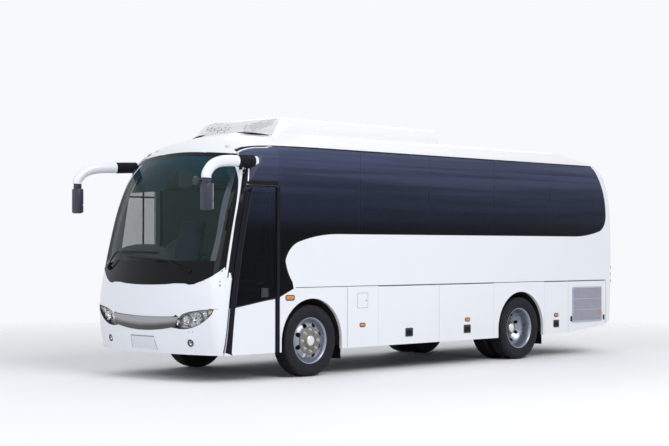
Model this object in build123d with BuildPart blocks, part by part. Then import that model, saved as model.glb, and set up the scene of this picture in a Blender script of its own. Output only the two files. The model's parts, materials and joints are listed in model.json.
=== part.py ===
from build123d import *
from math import cos, radians, sin, sqrt
import os

os.makedirs("parts", exist_ok=True)

# A midi coach for a right-hand-drive country. Millimetres, +X is the coach's left (its door side),
# -Y is ahead and Z = 0 is the road. Most stations are given as distances behind the front axle.

# Driving dimensions
WHEELBASE = 4400
FRONT_OVERHANG = 1815
REAR_OVERHANG = 2510
MIRROR_AHEAD = 125
HALF_WIDTH = 1240
SKIRT = 342
BELT = 1152
CANTRAIL = 2960
CROWN = 3200
RAIL_RADIUS = 185
WALL = 45
PANEL = 30
GLASS = 8
FIT = 0.5
SEAM = 6
NOSE_PLAN = 3600
NOSE_CORNER = 200
TAIL_PLAN = 8000
TAIL_CORNER = 120
CORNER_EASE = 0.4

LID_BARREL = 8
LID_PROUD = 4
AXLE_1 = (FRONT_OVERHANG + MIRROR_AHEAD - WHEELBASE - REAR_OVERHANG - LID_PROUD - LID_BARREL) / 2
AXLE_2 = AXLE_1 + WHEELBASE
FRONT = AXLE_1 - FRONT_OVERHANG
REAR = AXLE_2 + REAR_OVERHANG
FAR = 4000

# Wheels and axles
TYRE_RADIUS = 465
TYRE_WIDTH = 255
TYRE_INSET = 20
RIM_RADIUS = 286
TWIN_PITCH = 330
WHEEL_X = HALF_WIDTH - TYRE_INSET - TYRE_WIDTH / 2
ARCH_RADIUS = 547
LINER_GAP = 25
LINER = 6
KINGPIN_X = 930
KINGPIN_RADIUS = 25
SPINDLE_RADIUS = 40
REAR_SPINDLE = 50
RUNNING = 0.05

# Chassis and floor
RAIL_X = 430
RAIL_LOW = 560
RAIL_HIGH = 760
RAIL_FLANGE = 70
RAIL_WALL = 10
FLOOR = 1120
DECK = 30
BAY_FLOOR = 400
BAY_INNER = 500
BAY_WALL = 12

# Doorway
DOOR_REAR = -635
DOOR_GAP = 10
DOOR_SILL = 300
DOOR_TOP = 2440
DOOR_THICK = 40
ARM_PIVOT = (1120, -700)
ARM_REACH = 430
ARM_BULGE = 118
ARM_HEIGHTS = (560, 2230)

# Belt line and side glass, as stations behind the front axle
PANE_SEAMS = (-604, 899, 2315, 3744, 5124)
GLASS_SILL = 1849
GLASS_HEAD = 2952


def at(station, height):
    """A point of a side view, from its distance behind the front axle."""
    return (AXLE_1 + station, height)


def side_prism(points, x_from, x_to):
    """A side-view polygon of stations and heights, extruded across the coach."""
    with BuildPart() as block:
        with BuildSketch(Plane.YZ.offset(x_from)):
            with BuildLine():
                Polyline(*[at(*p) for p in points], close=True)
            make_face()
        extrude(amount=x_to - x_from)
    return block.part


def box_between(low, high):
    """A box between two corners, whose Y values are stations behind the front axle."""
    with BuildPart() as block:
        size = [b - a for a, b in zip(low, high)]
        with Locations((low[0], AXLE_1 + low[1], low[2])):
            Box(*size, align=(Align.MIN, Align.MIN, Align.MIN))
    return block.part


# The body as one closed form, from which every panel is cut


def cross_section_prism(inset, y_from, y_to):
    """Upright walls, round cantrails and a cambered roof, all set in alike."""
    rise = CROWN - CANTRAIL
    rail_x = HALF_WIDTH - RAIL_RADIUS
    camber = (rail_x ** 2 + rise ** 2 - RAIL_RADIUS ** 2) / (2 * (rise - RAIL_RADIUS))
    share = (camber - inset) / (camber - RAIL_RADIUS)
    join = (share * rail_x, CROWN - camber + share * (camber - rise))
    side = HALF_WIDTH - inset
    with BuildPart() as tube:
        with BuildSketch(Plane.XZ.offset(-y_to)):
            with BuildLine():
                wall = Line((side, SKIRT - inset), (side, CANTRAIL))
                TangentArc(wall @ 1, join, tangent=(0, 1))
                ThreePointArc(join, (0, CROWN - inset), (-join[0], join[1]))
                far = Line((-side, CANTRAIL), (-side, SKIRT - inset))
                TangentArc(far @ 0, (-join[0], join[1]), tangent=(0, 1))
                Line(far @ 1, wall @ 0)
            make_face()
        extrude(amount=y_to - y_from)
    return tube.part


# Each end's side profile as arcs from the skirt up: radius, and its lean from upright at both ends
NOSE_START = (-1703, 212)
NOSE_ARCS = ((1860, -20, 11.8), (11546, 11.8, 16), (2739, 16, 36), (510, 36, 76), (9909, 76, 84))
TAIL_START = (6847, 278)
TAIL_ARCS = ((11613, -6, 3), (1862, 3, 22), (621, 22, 78), (7515, 78, 88))


def end_outside(start, arcs, plan_radius, corner, rearward, inset):
    """All that lies beyond one end of the body: its plan outline swung along the profile's arcs."""
    half = HALF_WIDTH + CORNER_EASE
    drop = sqrt((plan_radius - corner) ** 2 - (half - corner) ** 2) - plan_radius
    y, z = at(*start)
    with BuildPart() as outside:
        for radius, lean_from, lean_to in arcs:
            tilt, last = radians(lean_from), radians(lean_to)
            hub = (0, y + rearward * radius * cos(tilt), z - radius * sin(tilt))
            centre = (0, radius - plan_radius)
            apex = radius - inset
            corner_at = (half - corner, radius + drop)
            span = sqrt(corner_at[0] ** 2 + (corner_at[1] - centre[1]) ** 2)
            bend = ((plan_radius - inset) * corner_at[0] / span,
                    centre[1] + (plan_radius - inset) * (corner_at[1] - centre[1]) / span)
            flank = (half - inset, corner_at[1])
            out = Vector(0, -rearward * cos(tilt), sin(tilt))
            with BuildSketch(Plane(origin=hub, x_dir=(1, 0, 0), z_dir=Vector(1, 0, 0).cross(out))):
                with BuildLine():
                    face = ThreePointArc((-bend[0], bend[1]), (0, apex), bend)
                    near = TangentArc(face @ 1, flank, tangent=face % 1)
                    Polyline(near @ 1, (2 * half, flank[1]), (2 * half, radius + FAR),
                             (-2 * half, radius + FAR), (-2 * half, flank[1]), (-flank[0], flank[1]))
                    TangentArc(face @ 0, (-flank[0], flank[1]), tangent=-(face % 0))
                make_face()
            revolve(axis=Axis(hub, (-rearward, 0, 0)), revolution_arc=lean_to - lean_from)
            y += rearward * radius * (cos(tilt) - cos(last))
            z += radius * (sin(last) - sin(tilt))
    return outside.part


def hull(inset):
    """The whole body's closed form, set in from its outer face."""
    with BuildPart() as whole:
        add(cross_section_prism(inset, FRONT - 10, REAR + 10))
        add(end_outside(NOSE_START, NOSE_ARCS, NOSE_PLAN, NOSE_CORNER, 1, inset), mode=Mode.SUBTRACT)
        add(end_outside(TAIL_START, TAIL_ARCS, TAIL_PLAN, TAIL_CORNER, -1, inset), mode=Mode.SUBTRACT)
    return whole.part


OUTER = hull(0)
GLASS_INNER = hull(GLASS)
PANEL_INNER = hull(PANEL)
WALL_INNER = hull(WALL)
LINED = hull(WALL + FIT)

# The skirt rises behind the rear axle
SKIRT_RISE = ((4958, SKIRT), (5596, 356), (6546, 434), (6702, 505), (7100, 520), (7100, 0), (4958, 0))


def layer(inner):
    """What lies between the outer face and an inner form."""
    with BuildPart() as skin:
        add(OUTER)
        add(inner, mode=Mode.SUBTRACT)
        add(side_prism(SKIRT_RISE, -FAR, FAR), mode=Mode.SUBTRACT)
    return skin.part


SHELL = layer(WALL_INNER)
PANEL_LAYER = layer(PANEL_INNER)
GLASS_LAYER = layer(GLASS_INNER)


def front_zone(low=0, middle=0, high=0):
    """What is ahead of the curved line where the front panel meets the sides, seen from the side."""
    with BuildPart() as zone:
        with BuildSketch(Plane.YZ.offset(-FAR)):
            with BuildLine():
                edge = ThreePointArc(at(-1500 + low, 250), at(-1350 + middle, 1480), at(-1000 + high, CANTRAIL))
                Polyline(edge @ 1, at(-FAR, CANTRAIL), at(-FAR, 250), edge @ 0)
            make_face()
        extrude(amount=2 * FAR)
    return zone.part


FRONT_ZONE = front_zone()
REAR_LINE = 6640
with BuildPart() as rear_zone:
    add(box_between((-FAR, REAR_LINE, 0), (FAR, FAR + 5000, CANTRAIL)))
    add(box_between((-700, REAR_LINE - 400, 0), (700, FAR + 5000, CANTRAIL)))
REAR_ZONE = rear_zone.part
ROOF_ZONE = box_between((-FAR, -FAR, CANTRAIL), (FAR, FAR + 5000, FAR))


# Windscreen and the front panel around it


def screen_outline(margin):
    """The windscreen seen from ahead, larger or smaller by a margin, through the nose."""
    with BuildPart() as view:
        with BuildSketch(Plane.XZ.offset(-(AXLE_1 - 700))):
            with BuildLine():
                low = Line((-760, 1225), (760, 1225))
                rise = TangentArc(low @ 1, (1240, 1420), tangent=low % 1)
                side = Line(rise @ 1, (1240, 2760))
                head = ThreePointArc(side @ 1, (0, 2908), (-1240, 2760))
                far_side = Line(head @ 1, (-1240, 1420))
                TangentArc(low @ 0, far_side @ 1, tangent=-(low % 1))
            make_face()
            if margin:
                offset(amount=margin)
        extrude(amount=1400)
        add(front_zone(margin - 110, margin - 100, margin - 35), mode=Mode.INTERSECT)
    return view.part


with BuildPart() as windscreen:
    add(GLASS_LAYER)
    add(screen_outline(0), mode=Mode.INTERSECT)

# Lamp openings seen from ahead: inner tip, upper edge, outer corner and lower edge


def lamp_outline(margin, depth_from, depth_to):
    with BuildPart() as view:
        with BuildSketch(Plane.XZ.offset(-(AXLE_1 - depth_from))):
            with BuildLine():
                upper = ThreePointArc((413, 690), (690, 872), (1160, 912))
                outer = Line(upper @ 1, (1135, 850))
                lower = ThreePointArc(outer @ 1, (900, 695), (640, 662))
                Line(lower @ 1, upper @ 0)
            make_face()
            if margin:
                offset(amount=margin)
        extrude(amount=depth_to - depth_from)
        mirror(about=Plane.YZ)
    return view.part


LAMP_BACK = 1400
LAMP_AHEAD = 2000
PLATE_LOW = 372
PLATE_HIGH = 552
FOG_X = 807
FOG_Z = 490
FOG_RADIUS = 45

with BuildPart() as front_mask:
    add(SHELL)
    add(FRONT_ZONE, mode=Mode.INTERSECT)
    add(screen_outline(FIT), mode=Mode.SUBTRACT)
    add(lamp_outline(FIT, LAMP_BACK, LAMP_AHEAD), mode=Mode.SUBTRACT)
    with BuildSketch(Plane.XZ.offset(-(AXLE_1 - 1500))):
        with Locations((-FOG_X, FOG_Z), (FOG_X, FOG_Z)):
            Circle(FOG_RADIUS + FIT)
    extrude(amount=500, mode=Mode.SUBTRACT)
    with BuildSketch(Plane.XZ.offset(-(AXLE_1 - 1780))):
        with Locations((0, (PLATE_LOW + PLATE_HIGH) / 2)):
            Trapezoid(600, PLATE_HIGH - PLATE_LOW, 80)
    extrude(amount=200, mode=Mode.SUBTRACT)

LAMP_DEPTH = 90
with BuildPart() as headlamps:
    add(OUTER)
    add(hull(LAMP_DEPTH), mode=Mode.SUBTRACT)
    add(lamp_outline(0, LAMP_BACK, LAMP_AHEAD), mode=Mode.INTERSECT)

with BuildPart() as fog_lamps:
    add(OUTER)
    add(hull(WALL + 10), mode=Mode.SUBTRACT)
    with BuildSketch(Plane.XZ.offset(-(AXLE_1 - 1500))) as fog_face:
        with Locations((-FOG_X, FOG_Z), (FOG_X, FOG_Z)):
            Circle(FOG_RADIUS)
    extrude(amount=500, mode=Mode.INTERSECT)

# Roof, one panel from the brow to the rear dome, with its hatch opening
HATCH = (3690, 4480, 330)
HATCH_THICK = 26
HATCH_SEAT = 3206
HATCH_LAP = 35
KERB = 25
HATCH_AXIS = (3640, HATCH_SEAT + HATCH_THICK / 2)
HATCH_BARREL = 8
HATCH_PIN = 4
HATCH_HINGE_X = 200
HATCH_HINGE_HALF = 30
HATCH_LUG = 12
kerb_low = (-HATCH[2] - KERB, HATCH[0] - KERB, CROWN - WALL)
kerb_high = (HATCH[2] + KERB, HATCH[1] + KERB, HATCH_SEAT - 0.3)


def hatch_bar(side, half, radius):
    """A round bar along the hatch's hinge line."""
    with BuildPart() as bar:
        with BuildSketch(Plane.YZ.offset(side * HATCH_HINGE_X - half)):
            with Locations(at(*HATCH_AXIS)):
                Circle(radius)
        extrude(amount=2 * half)
    return bar.part


with BuildPart() as roof_shell:
    add(SHELL)
    add(ROOF_ZONE, mode=Mode.INTERSECT)
    add(box_between(kerb_low, kerb_high))
    add(box_between((-HATCH[2], HATCH[0], CANTRAIL), (HATCH[2], HATCH[1], FAR)), mode=Mode.SUBTRACT)
    for side in (-1, 1):
        for place in (-HATCH_HINGE_HALF - 0.3 - HATCH_LUG, HATCH_HINGE_HALF + 0.3):
            with BuildSketch(Plane.YZ.offset(side * HATCH_HINGE_X + place)):
                with BuildLine():
                    Polyline(at(HATCH_AXIS[0] - 18, CROWN - 15), at(HATCH_AXIS[0] - HATCH_BARREL, HATCH_AXIS[1]),
                             at(HATCH_AXIS[0] + HATCH_BARREL, HATCH_AXIS[1]), at(HATCH_AXIS[0] + 8, CROWN - 15), close=True)
                make_face()
                with Locations(at(*HATCH_AXIS)):
                    Circle(HATCH_BARREL)
            extrude(amount=HATCH_LUG)
        add(hatch_bar(side, HATCH_HINGE_HALF + 6, HATCH_PIN))

with BuildPart() as roof_hatch:
    hatch_low = (-HATCH[2] - HATCH_LAP, HATCH[0] - HATCH_LAP, HATCH_SEAT)
    hatch_high = (HATCH[2] + HATCH_LAP, HATCH[1] + HATCH_LAP, HATCH_SEAT + HATCH_THICK)
    add(box_between(hatch_low, hatch_high))
    fillet(roof_hatch.edges().filter_by(Axis.Z), 60)
    fillet(roof_hatch.faces().sort_by(Axis.Z)[-1].edges(), 10)
    add(box_between((-HATCH[2] + 12, HATCH[0] + 12, HATCH_SEAT - 40), (HATCH[2] - 12, HATCH[1] - 12, HATCH_SEAT)))
    add(box_between((-HATCH[2] + 30, HATCH[0] + 30, HATCH_SEAT - 40), (HATCH[2] - 30, HATCH[1] - 30, HATCH_SEAT - 6)),
        mode=Mode.SUBTRACT)
    for side in (-1, 1):
        x = side * HATCH_HINGE_X
        add(box_between((x - HATCH_HINGE_HALF, HATCH_AXIS[0], HATCH_AXIS[1] - 5),
                        (x + HATCH_HINGE_HALF, HATCH[0] - HATCH_LAP + 15, HATCH_AXIS[1] + 5)))
        add(hatch_bar(side, HATCH_HINGE_HALF, HATCH_BARREL))
        add(hatch_bar(side, HATCH_HINGE_HALF + 1, HATCH_PIN + RUNNING), mode=Mode.SUBTRACT)

# Side glass: one dark band with a fin behind the door, cut into panes


def glass_band(margin, x_from, x_to, driver):
    with BuildPart() as band:
        with BuildSketch(Plane.YZ.offset(x_from)):
            with BuildLine():
                sill = Line(at(472, GLASS_SILL), at(5750, GLASS_SILL))
                sweep_up = TangentArc(sill @ 1, at(6418, 1929), tangent=sill % 1)
                corner = TangentArc(sweep_up @ 1, at(6612, 2150), tangent=sweep_up % 1)
                rear_edge = ThreePointArc(corner @ 1, at(6525, 2590), at(6240, GLASS_HEAD))
                head = Line(rear_edge @ 1, at(-860, GLASS_HEAD))
                brow = ThreePointArc(head @ 1, at(-975, 2935), at(-1050, 2875))
                dip = TangentArc(sill @ 0, at(-240, 1747), tangent=-(sill % 0))
                hook = TangentArc(dip @ 1, at(-480, 1500), tangent=dip % 1)
                if driver:
                    side = Line(brow @ 1, at(-1300, 1400))
                    toe = Line(side @ 1, at(-560, 1330))
                    Line(toe @ 1, hook @ 1)
                else:
                    side = Line(brow @ 1, at(-1165, DOOR_TOP + 53))
                    bar = Line(side @ 1, at(DOOR_REAR + 5, DOOR_TOP + 53))
                    strip = Line(bar @ 1, at(DOOR_REAR + 5, 1020))
                    fin = Line(strip @ 1, at(-334, 1146))
                    rise = Line(fin @ 1, at(-358, 1232))
                    ThreePointArc(rise @ 1, at(-440, 1372), hook @ 1)
            make_face()
            if margin:
                offset(amount=margin)
        extrude(amount=x_to - x_from)
    return band.part


def pane_gaps(width, x_from, x_to, driver):
    with BuildPart() as gaps:
        for seam in PANE_SEAMS if driver else PANE_SEAMS[1:]:
            add(box_between((x_from, seam - width / 2, 1000), (x_to, seam + width / 2, CANTRAIL)))
    return gaps.part


PANE_JOINT = 5
PILLAR = 70
SIDES = {"left": 1, "right": -1}


def side_glass(sign):
    low, high = sorted((sign * 900, sign * FAR))
    with BuildPart() as glass:
        add(GLASS_LAYER)
        add(glass_band(0, low, high, sign < 0), mode=Mode.INTERSECT)
        add(pane_gaps(PANE_JOINT, low, high, sign < 0), mode=Mode.SUBTRACT)
        add(FRONT_ZONE, mode=Mode.SUBTRACT)
    return glass.part


# Lids in the side walls: name, front edge and rear edge as stations
LIDS = (
    ("luggage_door_1", 1253, 2515),
    ("luggage_door_2", 2515, 3750),
    ("service_door", 4976, 5593),
    ("engine_side_door", 5593, 6596),
)
HINGE_BEAD = 8
HINGE_PIN = 4


def side_wall(sign):
    low, high = sorted((sign * 700, sign * FAR))
    with BuildPart() as wall:
        add(SHELL)
        add(box_between((low, -FAR, 0), (high, REAR_LINE, CANTRAIL)), mode=Mode.INTERSECT)
        add(FRONT_ZONE, mode=Mode.SUBTRACT)
        # rebate for the glass, then the window openings behind it
        with BuildPart(mode=Mode.PRIVATE) as rebate:
            add(GLASS_LAYER)
            add(glass_band(FIT, low, high, sign < 0), mode=Mode.INTERSECT)
        add(rebate, mode=Mode.SUBTRACT)
        with BuildPart(mode=Mode.PRIVATE) as lights:
            add(glass_band(-PILLAR / 2, low, high, sign < 0))
            add(pane_gaps(PILLAR, low, high, sign < 0), mode=Mode.SUBTRACT)
        add(lights, mode=Mode.SUBTRACT)
        for name, front, rear in LIDS:
            add(box_between((low, front + SEAM / 2, 0), (high, rear - SEAM / 2, BELT)), mode=Mode.SUBTRACT)
        for axle in (0, WHEELBASE):
            with BuildSketch(Plane.YZ.offset(low)):
                with Locations(at(axle, TYRE_RADIUS)):
                    Circle(ARCH_RADIUS)
                with Locations(at(axle, 0)):
                    Rectangle(2 * ARCH_RADIUS, TYRE_RADIUS, align=(Align.CENTER, Align.MIN))
            extrude(amount=high - low, mode=Mode.SUBTRACT)
        if sign > 0:
            add(box_between((low, -FAR, 0), (high, DOOR_REAR, DOOR_TOP + DOOR_GAP)), mode=Mode.SUBTRACT)
            add(header_bearing)
    return wall.part


def side_lid(sign, front, rear):
    low, high = sorted((sign * 700, sign * FAR))
    bead = (sign * (HALF_WIDTH - HINGE_BEAD), BELT - SEAM - HINGE_BEAD)
    y_from = AXLE_1 + front + SEAM
    y_to = AXLE_1 + rear - SEAM
    with BuildPart() as lid:
        add(PANEL_LAYER)
        add(box_between((low, front + SEAM, 0), (high, rear - SEAM, bead[1])), mode=Mode.INTERSECT)
        with BuildSketch(Plane.XZ.offset(-y_to)):
            with Locations(bead):
                Circle(HINGE_BEAD)
        extrude(amount=y_to - y_from)
        with BuildSketch(Plane.XZ.offset(-y_to - SEAM / 2 + 0.3)):
            with Locations(bead):
                Circle(HINGE_PIN)
        extrude(amount=y_to - y_from + SEAM - 0.6)
    return lid.part


# The passenger door


def door_zone(gap, z_low, z_high):
    with BuildPart() as zone:
        add(box_between((700, -FAR, z_low), (FAR, DOOR_REAR - gap, z_high)))
        add(front_zone(gap, gap, gap), mode=Mode.SUBTRACT)
    return zone.part


DOOR_INNER = hull(DOOR_THICK)
with BuildPart() as door_leaf:
    add(layer(DOOR_INNER))
    add(door_zone(DOOR_GAP, DOOR_SILL, DOOR_TOP), mode=Mode.INTERSECT)
    with BuildPart(mode=Mode.PRIVATE) as door_rebate:
        add(GLASS_LAYER)
        add(door_zone(DOOR_GAP, 0, DOOR_TOP + 1), mode=Mode.INTERSECT)
        add(side_prism(((-FAR, 560), (0, 1120), (0, FAR), (-FAR, FAR)), 700, FAR), mode=Mode.INTERSECT)
    add(door_rebate, mode=Mode.SUBTRACT)
    with BuildPart(mode=Mode.PRIVATE) as door_light:
        add(door_zone(DOOR_GAP + 85, 1120, DOOR_TOP - 80))
    add(door_light, mode=Mode.SUBTRACT)

with BuildPart() as door_glass:
    add(hull(FIT))
    add(GLASS_INNER, mode=Mode.SUBTRACT)
    add(door_zone(DOOR_GAP + 2, 0, DOOR_TOP - 2), mode=Mode.INTERSECT)
    add(side_prism(((-FAR, 562), (0, 1122), (0, FAR), (-FAR, FAR)), 700, FAR), mode=Mode.INTERSECT)

# Curved arms on an upright column beside the rear jamb, and their brackets on the leaf
COLUMN_RADIUS = 30
FIRST_TREAD = 385
ARM_SIZE = 36
EYE_RADIUS = 26
LEAF_PIN = 10
arm_end = (ARM_PIVOT[0], ARM_PIVOT[1] - ARM_REACH)
COLUMN_HIGH = DOOR_TOP + DOOR_GAP + 20
with BuildPart() as door_arm:
    with BuildSketch(Plane.XY.offset(FIRST_TREAD + 0.3)):
        with Locations((ARM_PIVOT[0], AXLE_1 + ARM_PIVOT[1])):
            Circle(COLUMN_RADIUS)
    extrude(amount=COLUMN_HIGH - FIRST_TREAD - 0.3)
    for height in ARM_HEIGHTS:
        with BuildSketch(Plane.XY.offset(height - ARM_SIZE / 2)):
            with BuildLine():
                ThreePointArc((ARM_PIVOT[0], AXLE_1 + ARM_PIVOT[1]),
                              (ARM_PIVOT[0] - ARM_BULGE, AXLE_1 + ARM_PIVOT[1] - ARM_REACH / 2),
                              (arm_end[0], AXLE_1 + arm_end[1]))
                offset(amount=ARM_SIZE / 2)
            make_face()
            with Locations((arm_end[0], AXLE_1 + arm_end[1])):
                Circle(EYE_RADIUS)
        extrude(amount=ARM_SIZE)
        with BuildSketch(Plane.XY.offset(height - ARM_SIZE)):
            with Locations((arm_end[0], AXLE_1 + arm_end[1])):
                Circle(LEAF_PIN + RUNNING)
        extrude(amount=2 * ARM_SIZE, mode=Mode.SUBTRACT)



def column_bearing(low, height):
    """A collar around the door column, reaching to the wall."""
    with BuildPart() as collar:
        with BuildSketch(Plane.XY.offset(low)):
            with Locations((ARM_PIVOT[0], AXLE_1 + ARM_PIVOT[1])):
                Circle(COLUMN_RADIUS + 14)
        extrude(amount=height)
        with BuildSketch(Plane.XY.offset(max(low, FIRST_TREAD))):
            with Locations((ARM_PIVOT[0], AXLE_1 + ARM_PIVOT[1])):
                Circle(COLUMN_RADIUS + RUNNING)
        extrude(amount=height, mode=Mode.SUBTRACT)
    return collar.part


BRACKET = 14
with BuildPart() as door_hinges:
    for height in ARM_HEIGHTS:
        with BuildSketch(Plane.XY.offset(height - ARM_SIZE / 2 - 1 - BRACKET)):
            with Locations((arm_end[0], AXLE_1 + arm_end[1])):
                Circle(EYE_RADIUS - 4)
            with Locations(((arm_end[0] + HALF_WIDTH - DOOR_THICK) / 2, AXLE_1 + arm_end[1])):
                Rectangle(HALF_WIDTH - DOOR_THICK - arm_end[0], 44)
        extrude(amount=BRACKET)
        with BuildSketch(Plane.XY.offset(height - ARM_SIZE / 2 - 1)):
            with Locations((arm_end[0], AXLE_1 + arm_end[1])):
                Circle(LEAF_PIN)
        extrude(amount=ARM_SIZE + 10)
    add(DOOR_INNER, mode=Mode.INTERSECT)

with BuildPart() as leaf_with_hinges:
    add(door_leaf)
    add(door_hinges)

with BuildPart() as header_bearing:
    pivot_station = ARM_PIVOT[1]
    add(box_between((ARM_PIVOT[0], pivot_station - 30, COLUMN_HIGH - 12),
                    (HALF_WIDTH - WALL + 5, pivot_station + 30, COLUMN_HIGH)))
    with BuildSketch(Plane.XY.offset(COLUMN_HIGH - 12)):
        with Locations((ARM_PIVOT[0], AXLE_1 + pivot_station)):
            Circle(COLUMN_RADIUS + 14)
    extrude(amount=12)
    with BuildSketch(Plane.XY.offset(COLUMN_HIGH - 20)):
        with Locations((ARM_PIVOT[0], AXLE_1 + pivot_station)):
            Circle(COLUMN_RADIUS + RUNNING)
    extrude(amount=30, mode=Mode.SUBTRACT)

# Rear wall with its window, lid and lamps
REAR_LIGHT = (1060, 1760, 2760)
ENGINE_LID = (800, 640, 1330)
LAMP_RADIUS = 52
LAMP_X = 1130
LAMP_HEIGHTS = (1142, 1252, 1362)


def rear_prism(draw, depth=2000):
    with BuildPart() as view:
        with BuildSketch(Plane.XZ.offset(-(REAR + 200))):
            draw()
        extrude(amount=depth)
    return view.part


def rear_light_face(margin):
    def draw():
        with Locations((0, (REAR_LIGHT[1] + REAR_LIGHT[2]) / 2)):
            RectangleRounded(2 * (REAR_LIGHT[0] + margin), REAR_LIGHT[2] - REAR_LIGHT[1] + 2 * margin, 140 + margin)
    return draw


def lid_face(margin):
    def draw():
        with Locations((0, (ENGINE_LID[1] + ENGINE_LID[2]) / 2)):
            RectangleRounded(2 * (ENGINE_LID[0] + margin), ENGINE_LID[2] - ENGINE_LID[1] + 2 * margin, 40 + margin)
    return draw


def lamp_faces(margin):
    def draw():
        with Locations(*[(side * LAMP_X, z) for side in (-1, 1) for z in LAMP_HEIGHTS]):
            Circle(LAMP_RADIUS + margin)
    return draw


with BuildPart() as rear_wall:
    add(SHELL)
    add(REAR_ZONE, mode=Mode.INTERSECT)
    with BuildPart(mode=Mode.PRIVATE) as rear_rebate:
        add(GLASS_LAYER)
        add(rear_prism(rear_light_face(FIT)), mode=Mode.INTERSECT)
    add(rear_rebate, mode=Mode.SUBTRACT)
    add(rear_prism(rear_light_face(-50)), mode=Mode.SUBTRACT)
    add(rear_prism(lid_face(SEAM)), mode=Mode.SUBTRACT)
    add(rear_prism(lamp_faces(FIT), 500), mode=Mode.SUBTRACT)

with BuildPart() as rear_glass:
    add(GLASS_LAYER)
    add(rear_prism(rear_light_face(0)), mode=Mode.INTERSECT)

with BuildPart() as tail_lamps:
    add(OUTER)
    add(hull(WALL + 10), mode=Mode.SUBTRACT)
    add(rear_prism(lamp_faces(0), 700), mode=Mode.INTERSECT)

# The engine lid hangs from two stand-off hinges, whose line clears the bulge of the rear
LID_AXIS = (REAR + LID_PROUD, ENGINE_LID[2] + 4)
LID_HINGE_X = 560
with BuildPart() as engine_lid:
    add(PANEL_LAYER)
    add(rear_prism(lid_face(0)), mode=Mode.INTERSECT)
    for side in (-1, 1):
        with BuildSketch(Plane.YZ.offset(side * LID_HINGE_X - 30)):
            with BuildLine():
                Polyline((REAR - 70, ENGINE_LID[2] - 70), (REAR - 40, ENGINE_LID[2] - 60), (LID_AXIS[0] + 6, LID_AXIS[1] - 3),
                         (LID_AXIS[0] - 4, LID_AXIS[1] + 3), (REAR - 60, ENGINE_LID[2] - 45), close=True)
            make_face()
            with Locations(LID_AXIS):
                Circle(LID_BARREL)
        extrude(amount=60)

with BuildPart() as lid_brackets:
    for side in (-1, 1):
        for place in (side * LID_HINGE_X - 30.3 - 30, side * LID_HINGE_X + 30.3):
            with BuildSketch(Plane.YZ.offset(place)):
                with BuildLine():
                    Polyline((REAR - 80, LID_AXIS[1] + 50), (LID_AXIS[0], LID_AXIS[1] + LID_BARREL),
                             (LID_AXIS[0] - LID_BARREL, LID_AXIS[1]), (REAR - 80, LID_AXIS[1] + 20), close=True)
                make_face()
                with Locations(LID_AXIS):
                    Circle(LID_BARREL)
            extrude(amount=30)
    add(WALL_INNER, mode=Mode.SUBTRACT)

with BuildPart() as rear_wall_fitted:
    add(rear_wall)
    add(lid_brackets)

# Floor, steps, platform and luggage bays
with BuildPart() as floor_deck:
    add(box_between((-HALF_WIDTH, -600, FLOOR - DECK), (HALF_WIDTH, 6670, FLOOR)))
    add(box_between((-1050, 6600, FLOOR - DECK), (1050, 6900, FLOOR)))
    add(LINED, mode=Mode.INTERSECT)

STEPS = ((900, 1190, FIRST_TREAD), (610, 900, 620), (320, 610, 850))
PLATFORM = 850
STEP_FRONT = -1420
PLATFORM_FRONT = -1480
with BuildPart() as entrance_steps:
    for inner, outer, tread in STEPS:
        add(box_between((inner, STEP_FRONT, 345), (outer, -600, tread)))
    add(box_between((-HALF_WIDTH, PLATFORM_FRONT, PLATFORM - 60), (320, -600, PLATFORM)))
    add(box_between((-HALF_WIDTH, -620, 345), (HALF_WIDTH - WALL - 30, -600, PLATFORM)))
    add(box_between((-HALF_WIDTH, -610, PLATFORM), (610, -600, FLOOR)))
    add(LINED, mode=Mode.INTERSECT)
    add(column_bearing(FIRST_TREAD - 5, 25))

BAY_SPANS = ((1253, 2515), (2515, 3750))
with BuildPart() as luggage_bays:
    for sign in SIDES.values():
        low, high = sorted((sign * BAY_INNER, sign * (HALF_WIDTH - WALL - 1)))
        add(box_between((low, BAY_SPANS[0][0] + SEAM, BAY_FLOOR - BAY_WALL), (high, BAY_SPANS[-1][1] - SEAM, BAY_FLOOR)))
        inner_low, inner_high = sorted((sign * BAY_INNER, sign * (BAY_INNER + BAY_WALL)))
        add(box_between((inner_low, BAY_SPANS[0][0] + SEAM, BAY_FLOOR), (inner_high, BAY_SPANS[-1][1] - SEAM, FLOOR - DECK)))
        for station in (BAY_SPANS[0][0] + SEAM, BAY_SPANS[1][0] - BAY_WALL / 2, BAY_SPANS[1][1] - SEAM - BAY_WALL):
            add(box_between((low, station, BAY_FLOOR), (high, station + BAY_WALL, FLOOR - DECK)))

# Chassis: two channel rails, cross members and posts up to the floor
CROSS_STATIONS = (-560, 640, 1900, 3100, 3780, 5000, 6350)
RAIL_ENDS = (-600, 6500)
with BuildPart() as chassis_frame:
    for sign in SIDES.values():
        web_low, web_high = sorted((sign * (RAIL_X - RAIL_WALL / 2), sign * (RAIL_X + RAIL_WALL / 2)))
        add(box_between((web_low, RAIL_ENDS[0], RAIL_LOW), (web_high, RAIL_ENDS[1], RAIL_HIGH)))
        lip_low, lip_high = sorted((sign * (RAIL_X + RAIL_WALL / 2 - RAIL_FLANGE), sign * (RAIL_X + RAIL_WALL / 2)))
        for z in (RAIL_LOW, RAIL_HIGH - RAIL_WALL):
            add(box_between((lip_low, RAIL_ENDS[0], z), (lip_high, RAIL_ENDS[1], z + RAIL_WALL)))
    for station in CROSS_STATIONS:
        add(box_between((-RAIL_X, station - 30, RAIL_LOW + 40), (RAIL_X, station + 30, RAIL_HIGH - 40)))
        if station > -600:
            for x in (-RAIL_X, RAIL_X):
                add(box_between((x - 25, station - 25, RAIL_HIGH), (x + 25, station + 25, FLOOR - DECK)))

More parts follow.
